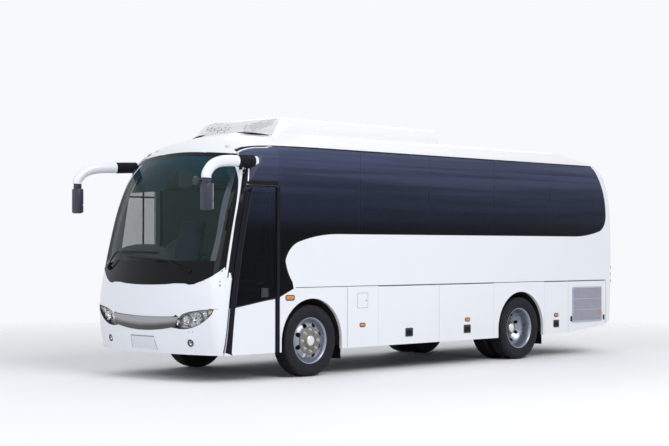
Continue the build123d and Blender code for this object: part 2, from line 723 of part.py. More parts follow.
TOW_EYE = (6560, 620)
TOW_BORE = 20
TOW_PLATE = 30
with BuildPart() as tow_eye:
    with BuildSketch(Plane.YZ.offset(-TOW_PLATE / 2)):
        with Locations(at(*TOW_EYE)):
            Circle(48)
        with Locations(at(TOW_EYE[0] - 80, TOW_EYE[1])):
            Rectangle(160, 96)
        with Locations(at(*TOW_EYE)):
            Circle(TOW_BORE, mode=Mode.SUBTRACT)
    extrude(amount=TOW_PLATE)

with BuildPart() as chassis_with_eye:
    add(chassis_frame)
    add(box_between((-RAIL_X, RAIL_ENDS[1] - 60, RAIL_LOW + 10), (RAIL_X, RAIL_ENDS[1], RAIL_HIGH - 10)))
    add(tow_eye)

# Wheel housings
SEAT_GAP = 0.3
LINER_OUTER_X = HALF_WIDTH - WALL - SEAT_GAP
LINER_INNER_X = {0: 560, WHEELBASE: 600}


def wheel_housing(sign, axle):
    radius = ARCH_RADIUS + LINER_GAP
    low, high = sorted((sign * LINER_INNER_X[axle], sign * LINER_OUTER_X))
    with BuildPart() as housing:
        with BuildSketch(Plane.YZ.offset(low)):
            with Locations(at(axle, TYRE_RADIUS)):
                Circle(radius)
            with Locations(at(axle, SKIRT + 40)):
                Rectangle(2 * radius, TYRE_RADIUS - SKIRT - 40, align=(Align.CENTER, Align.MIN))
            with Locations(at(axle, SKIRT + 40)):
                Rectangle(4 * radius, FAR, align=(Align.CENTER, Align.MAX), mode=Mode.SUBTRACT)
        extrude(amount=high - low)
        with BuildSketch(Plane.YZ.offset(low + (LINER if sign > 0 else 0))):
            with Locations(at(axle, TYRE_RADIUS)):
                Circle(radius - LINER)
            with Locations(at(axle, 0)):
                Rectangle(2 * (radius - LINER), TYRE_RADIUS, align=(Align.CENTER, Align.MIN))
        extrude(amount=high - low - LINER, mode=Mode.SUBTRACT)
        # the axle, its springs and the steering reach through the inner wall
        add(box_between((low - 10, axle - 330, 0), (high + 10, axle + 330, TYRE_RADIUS + 130)), mode=Mode.SUBTRACT)
    return housing.part


with BuildPart() as wheel_housings:
    for sign in SIDES.values():
        for axle in (0, WHEELBASE):
            add(wheel_housing(sign, axle))

# Mudflaps hang behind the wheels from the housings
FLAP_DROP = 200
with BuildPart() as mudflaps:
    for sign in SIDES.values():
        for axle, inner in ((0, 940), (WHEELBASE, 640)):
            low, high = sorted((sign * inner, sign * (HALF_WIDTH - WALL - 5)))
            station = axle + ARCH_RADIUS + LINER_GAP - LINER
            add(box_between((low, station, FLAP_DROP), (high, station + LINER, SKIRT + 40 - 0.3)))

# Axles, springs and knuckles
BEAM_HALF = 42
BEAM_DROP = 90
PIN_BOSS = 55
BOSS_HALF = 60
FORK_GAP = 1
FORK = 34
with BuildPart() as front_axle:
    with BuildSketch(Plane.XZ.offset(-(AXLE_1 + 40))):
        with BuildLine():
            Polyline((-KINGPIN_X, TYRE_RADIUS + BEAM_HALF), (-720, TYRE_RADIUS + BEAM_HALF - 10), (-600, TYRE_RADIUS - BEAM_DROP + BEAM_HALF),
                     (600, TYRE_RADIUS - BEAM_DROP + BEAM_HALF), (720, TYRE_RADIUS + BEAM_HALF - 10), (KINGPIN_X, TYRE_RADIUS + BEAM_HALF),
                     (KINGPIN_X, TYRE_RADIUS - BEAM_HALF), (700, TYRE_RADIUS - BEAM_HALF), (600, TYRE_RADIUS - BEAM_DROP - BEAM_HALF),
                     (-600, TYRE_RADIUS - BEAM_DROP - BEAM_HALF), (-700, TYRE_RADIUS - BEAM_HALF), (-KINGPIN_X, TYRE_RADIUS - BEAM_HALF),
                     close=True)
        make_face()
    extrude(amount=80)
    for x in (-KINGPIN_X, KINGPIN_X):
        with BuildSketch(Plane.XY.offset(TYRE_RADIUS - BOSS_HALF)):
            with Locations((x, AXLE_1)):
                Circle(PIN_BOSS)
        extrude(amount=2 * BOSS_HALF)
        with BuildSketch(Plane.XY.offset(TYRE_RADIUS - BOSS_HALF)):
            with Locations((x, AXLE_1)):
                Circle(KINGPIN_RADIUS + RUNNING)
        extrude(amount=2 * BOSS_HALF, mode=Mode.SUBTRACT)

DRUM_RADIUS = 190
DRUM_INNER = 1000
DRUM_OUTER = 1090
SPINDLE_END = 1196


def knuckle(sign):
    with BuildPart() as piece:
        for z in (TYRE_RADIUS + BOSS_HALF + FORK_GAP, TYRE_RADIUS - BOSS_HALF - FORK_GAP - FORK):
            with BuildSketch(Plane.XY.offset(z)):
                with Locations((sign * KINGPIN_X, AXLE_1)):
                    Circle(PIN_BOSS)
                with Locations((sign * (KINGPIN_X + DRUM_INNER) / 2, AXLE_1)):
                    Rectangle(DRUM_INNER - KINGPIN_X, 2 * PIN_BOSS)
            extrude(amount=FORK)
        with BuildSketch(Plane.XY.offset(TYRE_RADIUS - BOSS_HALF - FORK_GAP)):
            with Locations((sign * KINGPIN_X, AXLE_1)):
                Circle(KINGPIN_RADIUS)
        extrude(amount=2 * BOSS_HALF + 2 * FORK_GAP)
        with BuildSketch(Plane.YZ.offset(sign * DRUM_INNER)):
            with Locations(at(0, TYRE_RADIUS)):
                Circle(DRUM_RADIUS)
        extrude(amount=sign * 20)
        with BuildSketch(Plane.YZ.offset(sign * DRUM_INNER)):
            with Locations(at(0, TYRE_RADIUS)):
                Circle(SPINDLE_RADIUS)
        extrude(amount=sign * (SPINDLE_END - DRUM_INNER))
    return piece.part


# Wheel sections: distance from the wheel's centre plane towards the outside, and radius
TYRE_SECTION = ((-97.5, 286), (-97.5, 306), (-118, 340), (-127, 380), (-122, 430), (-104, 458), (-90, 465),
                (90, 465), (104, 458), (122, 430), (127, 380), (118, 340), (97.5, 306), (97.5, 286))


def turned(sign, centre, axle, points):
    """A ring turned about the axle's line from a section of distances and radii."""
    with BuildPart() as ring:
        with BuildSketch(Plane.XZ.offset(-(AXLE_1 + axle))):
            with BuildLine():
                Polyline(*[(sign * (centre + d), TYRE_RADIUS + r) for d, r in points], close=True)
            make_face()
        revolve(axis=Axis((0, AXLE_1 + axle, TYRE_RADIUS), (1, 0, 0)))
    return ring.part


# Barrel flange, barrel, disc and hub, as distance from the centre plane and radius
HUB_BORE = SPINDLE_RADIUS + RUNNING
RIM_FRONT = ((-105, 303), (-98, 303), (-98, RIM_RADIUS), (98, RIM_RADIUS), (98, 303), (105, 303), (105, 272),
             (45, 262), (78, 225), (92, 160), (94, 98), (122, 92), (128, 50), (128, 0), (104, 0), (104, HUB_BORE),
             (0, HUB_BORE), (0, 92), (80, 98), (80, 155), (60, 215), (22, 256), (-105, 268))
REAR_BORE = REAR_SPINDLE + RUNNING
RIM_REAR_OUTER = ((-105, 303), (-98, 303), (-98, RIM_RADIUS), (98, RIM_RADIUS), (98, 303), (105, 303), (105, 272),
                  (-40, 262), (-88, 224), (-133, 166), (-151, 152), (-151, 98), (-20, 92), (-12, 50), (-12, 0),
                  (-36, 0), (-36, REAR_BORE), (-165, REAR_BORE), (-165, 160), (-145, 175), (-100, 232), (-60, 265),
                  (-105, 268))
RIM_REAR_INNER = ((-105, 303), (-98, 303), (-98, RIM_RADIUS), (98, RIM_RADIUS), (98, 303), (105, 303), (105, 272),
                  (60, 266), (100, 232), (145, 175), (165, 160), (165, REAR_BORE), (151, REAR_BORE), (151, 152),
                  (133, 166), (88, 224), (45, 258), (-105, 266))


def hand_holes(sign, axle, start, depth, circle):
    """Eight round holes through a wheel's disc."""
    with BuildPart() as holes:
        with BuildSketch(Plane.YZ.offset(sign * start)):
            with Locations((AXLE_1 + axle, TYRE_RADIUS)):
                with PolarLocations(circle, 8):
                    Circle(27)
        extrude(amount=sign * depth)
    return holes.part


def front_rim(sign):
    """Convex disc with its hub, barrel and hand holes."""
    with BuildPart() as rim:
        add(turned(sign, WHEEL_X, 0, RIM_FRONT))
        add(hand_holes(sign, 0, WHEEL_X + 20, 90, 205), mode=Mode.SUBTRACT)
    return rim.part


def rear_rims(sign):
    """Twin wheels bolted back to back on one hub."""
    with BuildPart() as rims:
        add(turned(sign, WHEEL_X, WHEELBASE, RIM_REAR_OUTER))
        add(turned(sign, WHEEL_X - TWIN_PITCH, WHEELBASE, RIM_REAR_INNER))
        add(hand_holes(sign, WHEELBASE, WHEEL_X - 290, 240, 200), mode=Mode.SUBTRACT)
    return rims.part


AXLE_TUBE = 62
BANJO = 210
with BuildPart() as rear_axle:
    with BuildSketch(Plane.YZ.offset(-560)):
        with Locations((AXLE_2, TYRE_RADIUS)):
            Circle(AXLE_TUBE)
    extrude(amount=1120)
    with BuildSketch(Plane.YZ.offset(-(WHEEL_X - 38))):
        with Locations((AXLE_2, TYRE_RADIUS)):
            Circle(REAR_SPINDLE)
    extrude(amount=2 * (WHEEL_X - 38))
    with BuildSketch(Plane.XZ.offset(-(AXLE_2 + 130))):
        with Locations((60, TYRE_RADIUS)):
            Circle(BANJO - 25)
    extrude(amount=260)
    fillet(rear_axle.edges().filter_by(GeomType.CIRCLE).filter_by_position(Axis.Y, AXLE_2 - 131, AXLE_2 - 129), 60)

# Springs, outboard of the rails: each hangs from two hangers and lies on its axle's seat
SPRING_X = 520
SPRING_HALF = 38
SPRING_REACH = {0: 560, WHEELBASE: 600}


def spring(sign, axle, seat):
    low, high = sorted((sign * (SPRING_X - SPRING_HALF), sign * (SPRING_X + SPRING_HALF)))
    reach = SPRING_REACH[axle]
    with BuildPart() as stack:
        with BuildSketch(Plane.YZ.offset(low)):
            with BuildLine():
                under = ThreePointArc(at(axle - reach, 560), at(axle, seat + 0.3), at(axle + reach, 560))
                up = Line(under @ 1, at(axle + reach, 580))
                over = ThreePointArc(up @ 1, at(axle, seat + 45), at(axle - reach, 580))
                Line(over @ 1, under @ 0)
            make_face()
        extrude(amount=high - low)
        rail_low, rail_high = sorted((sign * (RAIL_X + RAIL_WALL / 2), sign * (SPRING_X + SPRING_HALF)))
        for station in (axle - reach, axle + reach):
            add(box_between((rail_low, station - 25, 556), (rail_high, station + 25, 650)))
    return stack.part


FRONT_SEAT = TYRE_RADIUS - BEAM_DROP + BEAM_HALF
with BuildPart() as springs:
    for sign in SIDES.values():
        add(spring(sign, 0, FRONT_SEAT))
        add(spring(sign, WHEELBASE, TYRE_RADIUS + AXLE_TUBE))

# Engine, one plain block behind the rear axle
with BuildPart() as engine:
    add(box_between((-330, 5100, 470), (330, 6300, 1050)))
    fillet(engine.edges().filter_by(Axis.Y), 60)
    add(box_between((-RAIL_X + RAIL_WALL / 2 + 0.3, 5500, 640), (RAIL_X - RAIL_WALL / 2 - 0.3, 5600, 700)))

# Cabin: dashboard, wheel, driver's seat and passenger seats
DASH = ((-1740, 950), (-1740, 1440), (-1480, 1490), (-1330, 1470), (-1290, 1400), (-1330, 1220), (-1400, PLATFORM),
        (-1470, PLATFORM), (-1600, 950))
LAMP_ROOM = 15
with BuildPart() as dashboard:
    with BuildSketch(Plane.YZ.offset(-HALF_WIDTH)):
        with BuildLine():
            Polyline(*[at(*p) for p in DASH], close=True)
        make_face()
    extrude(amount=2 * HALF_WIDTH)
    add(LINED, mode=Mode.INTERSECT)
    add(lamp_outline(LAMP_ROOM, LAMP_BACK - LAMP_ROOM, LAMP_AHEAD), mode=Mode.SUBTRACT)

DRIVER_X = -640
COLUMN_TILT = 35
STEER_RADIUS = 225
STEER_CENTRE = (DRIVER_X, AXLE_1 - 1190, 1480)
steer_plane = Plane(origin=STEER_CENTRE, x_dir=(1, 0, 0), z_dir=(0, sin(radians(COLUMN_TILT)), cos(radians(COLUMN_TILT))))
with BuildPart() as steering_wheel:
    with BuildSketch(steer_plane):
        Circle(55)
        for angle in (0, 180, 270):
            with Locations(Rot(0, 0, angle)):
                Rectangle(STEER_RADIUS, 36, align=(Align.MIN, Align.CENTER))
    extrude(amount=14)
    with BuildSketch(steer_plane):
        Circle(STEER_RADIUS + 14)
        Circle(STEER_RADIUS - 14, mode=Mode.SUBTRACT)
    extrude(amount=26)
    with BuildSketch(steer_plane):
        Circle(16)
    extrude(amount=-90)

with BuildPart() as column:
    with BuildSketch(steer_plane.offset(-30)):
        Circle(42)
    extrude(amount=-330)
    with BuildSketch(steer_plane.offset(-30)):
        Circle(16 + RUNNING)
    extrude(amount=-80, mode=Mode.SUBTRACT)

with BuildPart() as dashboard_fitted:
    add(dashboard)
    add(column)
    with BuildSketch(steer_plane.offset(-30)):
        Circle(16 + RUNNING)
    extrude(amount=-61, mode=Mode.SUBTRACT)

SEAT_PITCH = 760
SEAT_ROWS = 8
FIRST_ROW = 30
SEAT_WIDTH = 450
SEAT_X = (280, 730)
# Cushion and back from the side: distance behind the seat's front edge, and height over the floor
CUSHION_SIDE = ((0, 385), (20, 450), (460, 432), (500, 350), (60, 350))
BACK_SIDE = ((500.3, 350), (545, 350), (565, 400), (672, 1080), (660, 1180), (600, 1180), (572, 1080), (460.3, 432))
LEG_TOP = 350 - SEAT_GAP
# Aisle leg of a pair: distance from the aisle side and width, then station and depth
LEG = (60, 60, 170, 190)
WALL_RAIL = (40, 50)


def seat_side(outline, x, width, station, floor):
    with BuildPart() as side:
        with BuildSketch(Plane.YZ.offset(x)):
            with BuildLine():
                Polyline(*[at(station + d, floor + h) for d, h in outline], close=True)
            make_face()
        extrude(amount=width)
    return side.part


with BuildPart() as passenger_seats:
    for sign in (1, -1):
        near, far = sorted((sign * (SEAT_X[0] + 8), sign * (SEAT_X[0] + 2 * SEAT_WIDTH - 8)))
        leg_low, leg_high = sorted((sign * (SEAT_X[0] + LEG[0]), sign * (SEAT_X[0] + LEG[0] + LEG[1])))
        for row in range(SEAT_ROWS):
            station = FIRST_ROW + row * SEAT_PITCH
            for outline in (CUSHION_SIDE, BACK_SIDE):
                add(seat_side(outline, near, far - near, station, FLOOR))
            add(box_between((leg_low, station + LEG[2], FLOOR), (leg_high, station + LEG[2] + LEG[3], FLOOR + LEG_TOP)))
        rail_low, rail_high = sorted((sign * (HALF_WIDTH - WALL - SEAT_GAP), sign * (HALF_WIDTH - WALL - SEAT_GAP - WALL_RAIL[0])))
        add(box_between((rail_low, FIRST_ROW + 80, FLOOR + LEG_TOP - WALL_RAIL[1]),
                        (rail_high, FIRST_ROW + (SEAT_ROWS - 1) * SEAT_PITCH + 480, FLOOR + LEG_TOP)))

# Driver's seat from the side, and its pedestal
DRIVER_SIDE = ((0, 380), (20, 450), (440, 430), (560, 1080), (600, 1180), (660, 1180), (670, 1080), (560, 400), (530, 350),
               (30, 360))
with BuildPart() as driver_seat:
    with BuildSketch(Plane.YZ.offset(DRIVER_X - 240)):
        with BuildLine():
            Polyline(*[at(-1060 + 0.75 * d, PLATFORM + h) for d, h in DRIVER_SIDE], close=True)
        make_face()
    extrude(amount=480)
    add(box_between((DRIVER_X - 180, -980, PLATFORM), (DRIVER_X + 180, -720, PLATFORM + 380)))

# Roof cooling unit: a long low fairing with a sloping nose and a crowned top
UNIT_HALF = 850
UNIT_FRONT = -480
UNIT_REAR = 3010
UNIT_BASE = 3080
UNIT_LIP = 3182
UNIT_SHOULDER = (700, 3385)
UNIT_CROWN = 3432
UNIT_TOP = 3440
UNIT_FRONT_CORNER = 330
UNIT_REAR_CORNER = 130
with BuildPart() as roof_unit:
    with BuildSketch(Plane.YZ.offset(-UNIT_HALF)):
        with BuildLine():
            base = Line(at(UNIT_REAR, UNIT_BASE), at(UNIT_FRONT + 70, UNIT_BASE))
            lip = Line(base @ 1, at(UNIT_FRONT, UNIT_LIP))
            nose = ThreePointArc(lip @ 1, at(-425, 3272), at(-310, 3328))
            slope = ThreePointArc(nose @ 1, at(30, 3402), at(450, UNIT_TOP))
            top = Line(slope @ 1, at(2780, UNIT_TOP))
            tail = ThreePointArc(top @ 1, at(2945, 3385), at(UNIT_REAR + 15, 3220))
            rump = Line(tail @ 1, at(UNIT_REAR + 15, UNIT_BASE))
            Line(rump @ 1, base @ 0)
        make_face()
    extrude(amount=2 * UNIT_HALF)
    with BuildPart(mode=Mode.PRIVATE) as unit_section:
        with BuildSketch(Plane.XZ.offset(-(AXLE_1 + UNIT_REAR + 10))):
            with BuildLine():
                side = Line((UNIT_HALF, UNIT_BASE), (UNIT_HALF - 8, 3230))
                shoulder = ThreePointArc(side @ 1, (795, 3338), UNIT_SHOULDER)
                crown = ThreePointArc(shoulder @ 1, (0, UNIT_CROWN), (-UNIT_SHOULDER[0], UNIT_SHOULDER[1]))
                far_shoulder = ThreePointArc(crown @ 1, (-795, 3338), (8 - UNIT_HALF, 3230))
                far_side = Line(far_shoulder @ 1, (-UNIT_HALF, UNIT_BASE))
                Line(far_side @ 1, side @ 0)
            make_face()
        extrude(amount=UNIT_REAR - UNIT_FRONT + 20)
    add(unit_section, mode=Mode.INTERSECT)
    with BuildPart(mode=Mode.PRIVATE) as unit_plan:
        with BuildSketch(Plane.XY.offset(UNIT_BASE - 10)) as outline:
            with Locations((0, AXLE_1 + (UNIT_FRONT + UNIT_REAR) / 2)):
                Rectangle(2 * UNIT_HALF + 6, UNIT_REAR - UNIT_FRONT + 6)
            fillet(outline.vertices().group_by(Axis.Y)[0], UNIT_FRONT_CORNER)
            fillet(outline.vertices().group_by(Axis.Y)[-1], UNIT_REAR_CORNER)
        extrude(amount=400)
    add(unit_plan, mode=Mode.INTERSECT)
    add(OUTER, mode=Mode.SUBTRACT)

# Mirrors on forward arms of oval section, taller than wide
MIRROR_X = 1315
ARM_ROOT = (1175, -925, 2755)
ARM_TALL = 68
ARM_WIDE = 48
ARM_TIP = (-FRONT_OVERHANG - MIRROR_AHEAD + ARM_TALL - 0.37, 2490)
# The arm between its root and its tip: stations and heights
ARM_BENDS = ((-1330, 2742), (-1640, 2730), (-1800, 2672), (ARM_TIP[0], 2590))
HEAD = (160, 100, 340)
HEAD_STATION = -1864
HEAD_Z = 2288


def mirror_arm(sign):
    splay = (MIRROR_X - ARM_ROOT[0]) / (ARM_ROOT[1] - ARM_TIP[0])
    with BuildPart() as arm:
        with BuildLine() as path:
            points = [(sign * (ARM_ROOT[0] + splay * (ARM_ROOT[1] - y)), AXLE_1 + y, z)
                      for y, z in (ARM_ROOT[1:],) + ARM_BENDS + (ARM_TIP,)]
            FilletPolyline(*points, radius=90)
        across = Vector(1, sign * splay, 0)
        with BuildSketch(Plane(origin=path.line @ 0, x_dir=across, z_dir=path.line % 0)):
            Ellipse(ARM_WIDE, ARM_TALL)
        sweep()
        add(OUTER, mode=Mode.SUBTRACT)
    return arm.part


def mirror_head(sign):
    with BuildPart() as head:
        with BuildSketch(Plane.XY.offset(HEAD_Z - HEAD[2] / 2)):
            with Locations((sign * MIRROR_X, AXLE_1 + HEAD_STATION)):
                RectangleRounded(HEAD[0], HEAD[1], 45)
        extrude(amount=HEAD[2])
        fillet(head.faces().sort_by(Axis.Z)[-1].edges(), 30)
        fillet(head.faces().sort_by(Axis.Z)[0].edges(), 30)
        with BuildSketch(Plane.XY.offset(HEAD_Z + HEAD[2] / 2 - 10)):
            with Locations((sign * MIRROR_X, AXLE_1 + HEAD_STATION)):
                Circle(26)
        extrude(amount=60)
    return head.part


def mirror_set(sign):
    with BuildPart() as piece:
        add(mirror_arm(sign))
        add(mirror_head(sign))
    return piece.part


PIECES = {
    "front_mask": front_mask.part,
    "windscreen": windscreen.part,
    "headlamps": headlamps.part,
    "fog_lamps": fog_lamps.part,
    "roof_shell": roof_shell.part,
    "roof_hatch": roof_hatch.part,
    "roof_unit": roof_unit.part,
    "rear_wall": rear_wall_fitted.part,
    "rear_glass": rear_glass.part,
    "tail_lamps": tail_lamps.part,
    "engine_lid": engine_lid.part,
    "door_leaf": leaf_with_hinges.part,
    "door_glass": door_glass.part,
    "door_arm": door_arm.part,
    "floor_deck": floor_deck.part,
    "entrance_steps": entrance_steps.part,
    "luggage_bays": luggage_bays.part,
    "chassis_frame": chassis_with_eye.part,
    "wheel_housings": wheel_housings.part,
    "mudflaps": mudflaps.part,
    "front_axle": front_axle.part,
    "rear_axle": rear_axle.part,
    "springs": springs.part,
    "engine": engine.part,
    "dashboard": dashboard_fitted.part,
    "steering_wheel": steering_wheel.part,
    "driver_seat": driver_seat.part,
    "passenger_seats": passenger_seats.part,
}
for side, sign in SIDES.items():
    PIECES[f"{side}_side_wall"] = side_wall(sign)
    PIECES[f"{side}_side_glass"] = side_glass(sign)
    for name, front, rear in LIDS:
        PIECES[f"{side}_{name}"] = side_lid(sign, front, rear)
    PIECES[f"mirror_{side}"] = mirror_set(sign)
    PIECES[f"knuckle_{side}"] = knuckle(sign)
    PIECES[f"front_rim_{side}"] = front_rim(sign)
    PIECES[f"front_tyre_{side}"] = turned(sign, WHEEL_X, 0, TYRE_SECTION)
    PIECES[f"rear_rims_{side}"] = rear_rims(sign)
    with BuildPart() as rear_tyres:
        for centre in (WHEEL_X, WHEEL_X - TWIN_PITCH):
            add(turned(sign, centre, WHEELBASE, TYRE_SECTION))
    PIECES[f"rear_tyres_{side}"] = rear_tyres.part

for name, part in PIECES.items():
    part.label = name
    export_step(part, f"parts/{name}.step")
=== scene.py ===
import json
from math import atan2, cos, hypot, pi, radians, sin, sqrt

import bmesh
import bpy
from mathutils import Matrix, Vector
from mathutils.bvhtree import BVHTree


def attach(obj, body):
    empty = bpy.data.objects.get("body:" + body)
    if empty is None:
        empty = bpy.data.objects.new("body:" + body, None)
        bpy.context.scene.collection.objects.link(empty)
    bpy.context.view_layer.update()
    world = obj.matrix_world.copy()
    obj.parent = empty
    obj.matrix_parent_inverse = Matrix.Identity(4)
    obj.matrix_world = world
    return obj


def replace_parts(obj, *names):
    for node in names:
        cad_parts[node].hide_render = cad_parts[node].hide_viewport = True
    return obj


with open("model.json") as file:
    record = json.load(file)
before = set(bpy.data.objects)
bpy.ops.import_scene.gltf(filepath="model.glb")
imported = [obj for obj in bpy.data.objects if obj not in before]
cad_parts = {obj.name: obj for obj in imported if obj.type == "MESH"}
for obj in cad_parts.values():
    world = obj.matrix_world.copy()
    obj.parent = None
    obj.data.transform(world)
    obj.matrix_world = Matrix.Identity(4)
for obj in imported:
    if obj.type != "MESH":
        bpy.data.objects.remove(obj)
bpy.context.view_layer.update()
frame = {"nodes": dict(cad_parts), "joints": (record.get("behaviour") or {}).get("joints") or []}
NODES = frame["nodes"]
PLACES = {joint["name"]: joint["pos_m"] for joint in frame["joints"]}
SIDES = {"left": 1, "right": -1}
LIDS = ("luggage_door_1", "luggage_door_2", "service_door", "engine_side_door")

# Everything is in metres; stations are distances behind the front axle
WHEEL_X, AXLE_1, HUB_Z = PLACES["front_spin_left"]
AXLE_2 = PLACES["rear_spin_left"][1]
HALF_WIDTH = 1.24


# Materials


def rgba(colour, factor=1.0):
    return tuple(min(1.0, c * factor) for c in colour[:3]) + (1.0,)


class Tree:
    """A node tree with short calls to fill it."""

    def __init__(self, owner):
        owner.use_nodes = True
        self.tree = owner.node_tree

    def put(self, socket, value):
        """Links an output to a socket, or sets the socket's own value."""
        if hasattr(value, "links"):
            self.tree.links.new(value, socket)
        else:
            socket.default_value = value

    def add(self, kind, inputs, output=0, **settings):
        """Adds a node, fills its inputs and gives one of its outputs."""
        node = self.tree.nodes.new(kind)
        for key, value in settings.items():
            setattr(node, key, value)
        for key, value in inputs.items():
            self.put(node.inputs[key], value)
        return node.outputs[output]

    def remap(self, value, low, high, to_low=0.0, to_high=1.0):
        ends = {"From Min": low, "From Max": high, "To Min": to_low, "To Max": to_high}
        return self.add("ShaderNodeMapRange", {"Value": value, **ends}, "Result")

    def maths(self, operation, a, b=0.0):
        return self.add("ShaderNodeMath", {0: a, 1: b}, operation=operation)

    def mix(self, factor, a, b):
        a, b = (c if hasattr(c, "links") else rgba(c) for c in (a, b))
        return self.add("ShaderNodeMix", {0: factor, 6: a, 7: b}, 2, data_type="RGBA")


class Material(Tree):
    """A material with short calls for its shader and its textures."""

    def __init__(self, name):
        self.mat = bpy.data.materials.new(name)
        super().__init__(self.mat)
        self.place = self.add("ShaderNodeTexCoord", {}, "Object")

    def set(self, **values):
        for key, value in values.items():
            self.put(self.tree.nodes["Principled BSDF"].inputs[key.replace("_", " ")], value)

    def stretched(self, scale):
        return self.add("ShaderNodeMapping", {"Vector": self.place, "Scale": scale})

    def noise(self, scale, detail=4.0, stretch=None):
        where = self.stretched(stretch) if stretch else self.place
        return self.add("ShaderNodeTexNoise", {"Vector": where, "Scale": scale, "Detail": detail}, "Fac")

    def split(self):
        return self.add("ShaderNodeSeparateXYZ", {0: self.place}).node.outputs

    def bump(self, height, strength, distance=0.0005):
        relief = {"Strength": strength, "Distance": distance, "Height": height}
        self.set(Normal=self.add("ShaderNodeBump", relief, "Normal"))


def finish_of(name, colour, roughness, metallic=0.0, spread=0.06, patch=3.0, grain=300.0, relief=0.1,
              **sockets):
    """A material whose colour and roughness wander a little and whose surface has a fine grain."""
    n = Material(name)
    n.set(Base_Color=n.mix(n.noise(patch), rgba(colour, 1 - spread), rgba(colour, 1 + spread)),
          Roughness=n.remap(n.noise(patch * 4), 0.3, 0.7, roughness * 0.85, min(1.0, roughness * 1.15)),
          Metallic=metallic, **sockets)
    n.bump(n.noise(grain), relief)
    return n.mat


ROAD_DUST = (0.5, 0.48, 0.45)
# The wall is dark ahead of this station and below this height, where it frames the doorway
DOOR_FRAME = (0.588, 2.8)


def painted(name, colour, low=0.34, high=1.1, doorway=False):
    """Gloss enamel with a trace of orange peel and road dust low down. A doorway's edge is dark."""
    n = Material(name)
    _, along, height = n.split()
    dust = n.maths("MULTIPLY", n.remap(height, low, high, 0.12, 0.0), n.remap(n.noise(2.5, 6), 0.3, 0.7))
    coat = n.mix(dust, n.mix(n.noise(0.8), rgba(colour, 0.985), rgba(colour, 1.01)), ROAD_DUST)
    if doorway:
        edge = n.maths("LESS_THAN", along, AXLE_1 - DOOR_FRAME[0])
        edge = n.maths("MULTIPLY", edge, n.maths("LESS_THAN", height, DOOR_FRAME[1]))
        coat = n.mix(edge, coat, (0.012, 0.013, 0.02))
    n.set(Base_Color=coat, Roughness=n.remap(n.noise(1.7), 0.3, 0.7, 0.28, 0.31), Coat_Weight=0.5,
          Coat_Roughness=0.04)
    n.bump(n.noise(90, 2), 0.02, 0.0004)
    return n.mat


WHITE = (0.785, 0.81, 0.86)
BODY = painted("body_white", WHITE)
DOORWAY_WALL = painted("doorway_wall", WHITE, doorway=True)
ROOF = painted("roof_white", (0.81, 0.815, 0.83), -1, 0)
LINING = finish_of("cabin_lining", (0.42, 0.43, 0.45), 0.75, grain=900, relief=0.3)
SEAM = finish_of("seam_sealer", (0.1, 0.1, 0.11), 0.7)
GLOSS_BLACK = finish_of("gloss_black", (0.006, 0.006, 0.008), 0.12, patch=1.2, relief=0.02, IOR=1.22)
RUBBER = finish_of("seal_rubber", (0.007, 0.007, 0.012), 0.5, grain=500, relief=0.12, IOR=1.2)
PLASTIC = finish_of("grained_plastic", (0.022, 0.023, 0.03), 0.45, grain=700, relief=0.2, IOR=1.4)
MIRROR_GREY = finish_of("mirror_grey", (0.04, 0.044, 0.065), 0.35, grain=600, relief=0.1, IOR=1.35)
CHASSIS = finish_of("chassis_black", (0.03, 0.029, 0.028), 0.6, spread=0.3, patch=5, relief=0.3)
LINER = finish_of("arch_liner", (0.018, 0.018, 0.019), 0.8, spread=0.3, grain=200, relief=0.5)
CHROME = finish_of("chrome", (0.78, 0.79, 0.8), 0.07, 1.0, spread=0.02, relief=0.02)
SILVER = finish_of("wheel_silver", (0.29, 0.31, 0.37), 0.3, 0.75, spread=0.05, patch=8, relief=0.01)
HUB_GREY = finish_of("hub_grey", (0.2, 0.19, 0.18), 0.42, 0.7, spread=0.25, patch=14, relief=0.2)
NUT_STEEL = finish_of("nut_steel", (0.55, 0.54, 0.52), 0.28, 1.0, spread=0.15, patch=30, relief=0.1)
AMBER = finish_of("amber_lens", (0.6, 0.19, 0.012), 0.18, spread=0.1, patch=60, Coat_Weight=0.6)
RED = finish_of("red_lens", (0.42, 0.012, 0.016), 0.15, spread=0.1, patch=60, Coat_Weight=0.6)
CLEAR = finish_of("clear_lens", (0.02, 0.02, 0.022), 0.03, relief=0.0, Alpha=0.1, IOR=1.45)
LAMP_BOWL = finish_of("lamp_bowl", (0.5, 0.51, 0.54), 0.16, 0.9, relief=0.03)
BULB = finish_of("bulb_glass", (0.9, 0.9, 0.86), 0.1, spread=0.02)
GRILLE = finish_of("grille_lilac", (0.42, 0.43, 0.5), 0.4, spread=0.1, patch=12)
MIRROR_GLASS = finish_of("mirror_glass", (0.82, 0.84, 0.86), 0.02, 1.0, relief=0.0)
FLOORING = finish_of("floor_covering", (0.16, 0.165, 0.18), 0.75, grain=180, relief=0.5)
DASH = finish_of("dash_grain", (0.14, 0.155, 0.16), 0.6, grain=600, relief=0.35)
ENGINE = finish_of("engine_metal", (0.1, 0.1, 0.105), 0.55, 0.4, spread=0.3, relief=0.4)


def lamp_facets():
    """The bright ground behind a headlamp's lens, broken up into light and dark facets of painted reflection.
    """
    n = Material("lamp_facets")
    cells = n.add("ShaderNodeTexVoronoi", {"Vector": n.stretched((26, 26, 60)), "Scale": 1.0}, "Color")
    painted_facet_reflections = n.mix(n.remap(cells, 0.14, 0.34), (0.03, 0.03, 0.035), (0.8, 0.82, 0.86))
    n.set(Base_Color=painted_facet_reflections, Roughness=0.25, Metallic=0.35)
    return n.mat


def tread_rubber():
    n = Material("tyre_rubber")
    n.set(Base_Color=n.mix(n.noise(7), (0.006, 0.006, 0.009), (0.014, 0.014, 0.019)),
          Roughness=n.remap(n.noise(20), 0.3, 0.7, 0.55, 0.75), IOR=1.3)
    n.bump(n.noise(260), 0.35, 0.0008)
    return n.mat


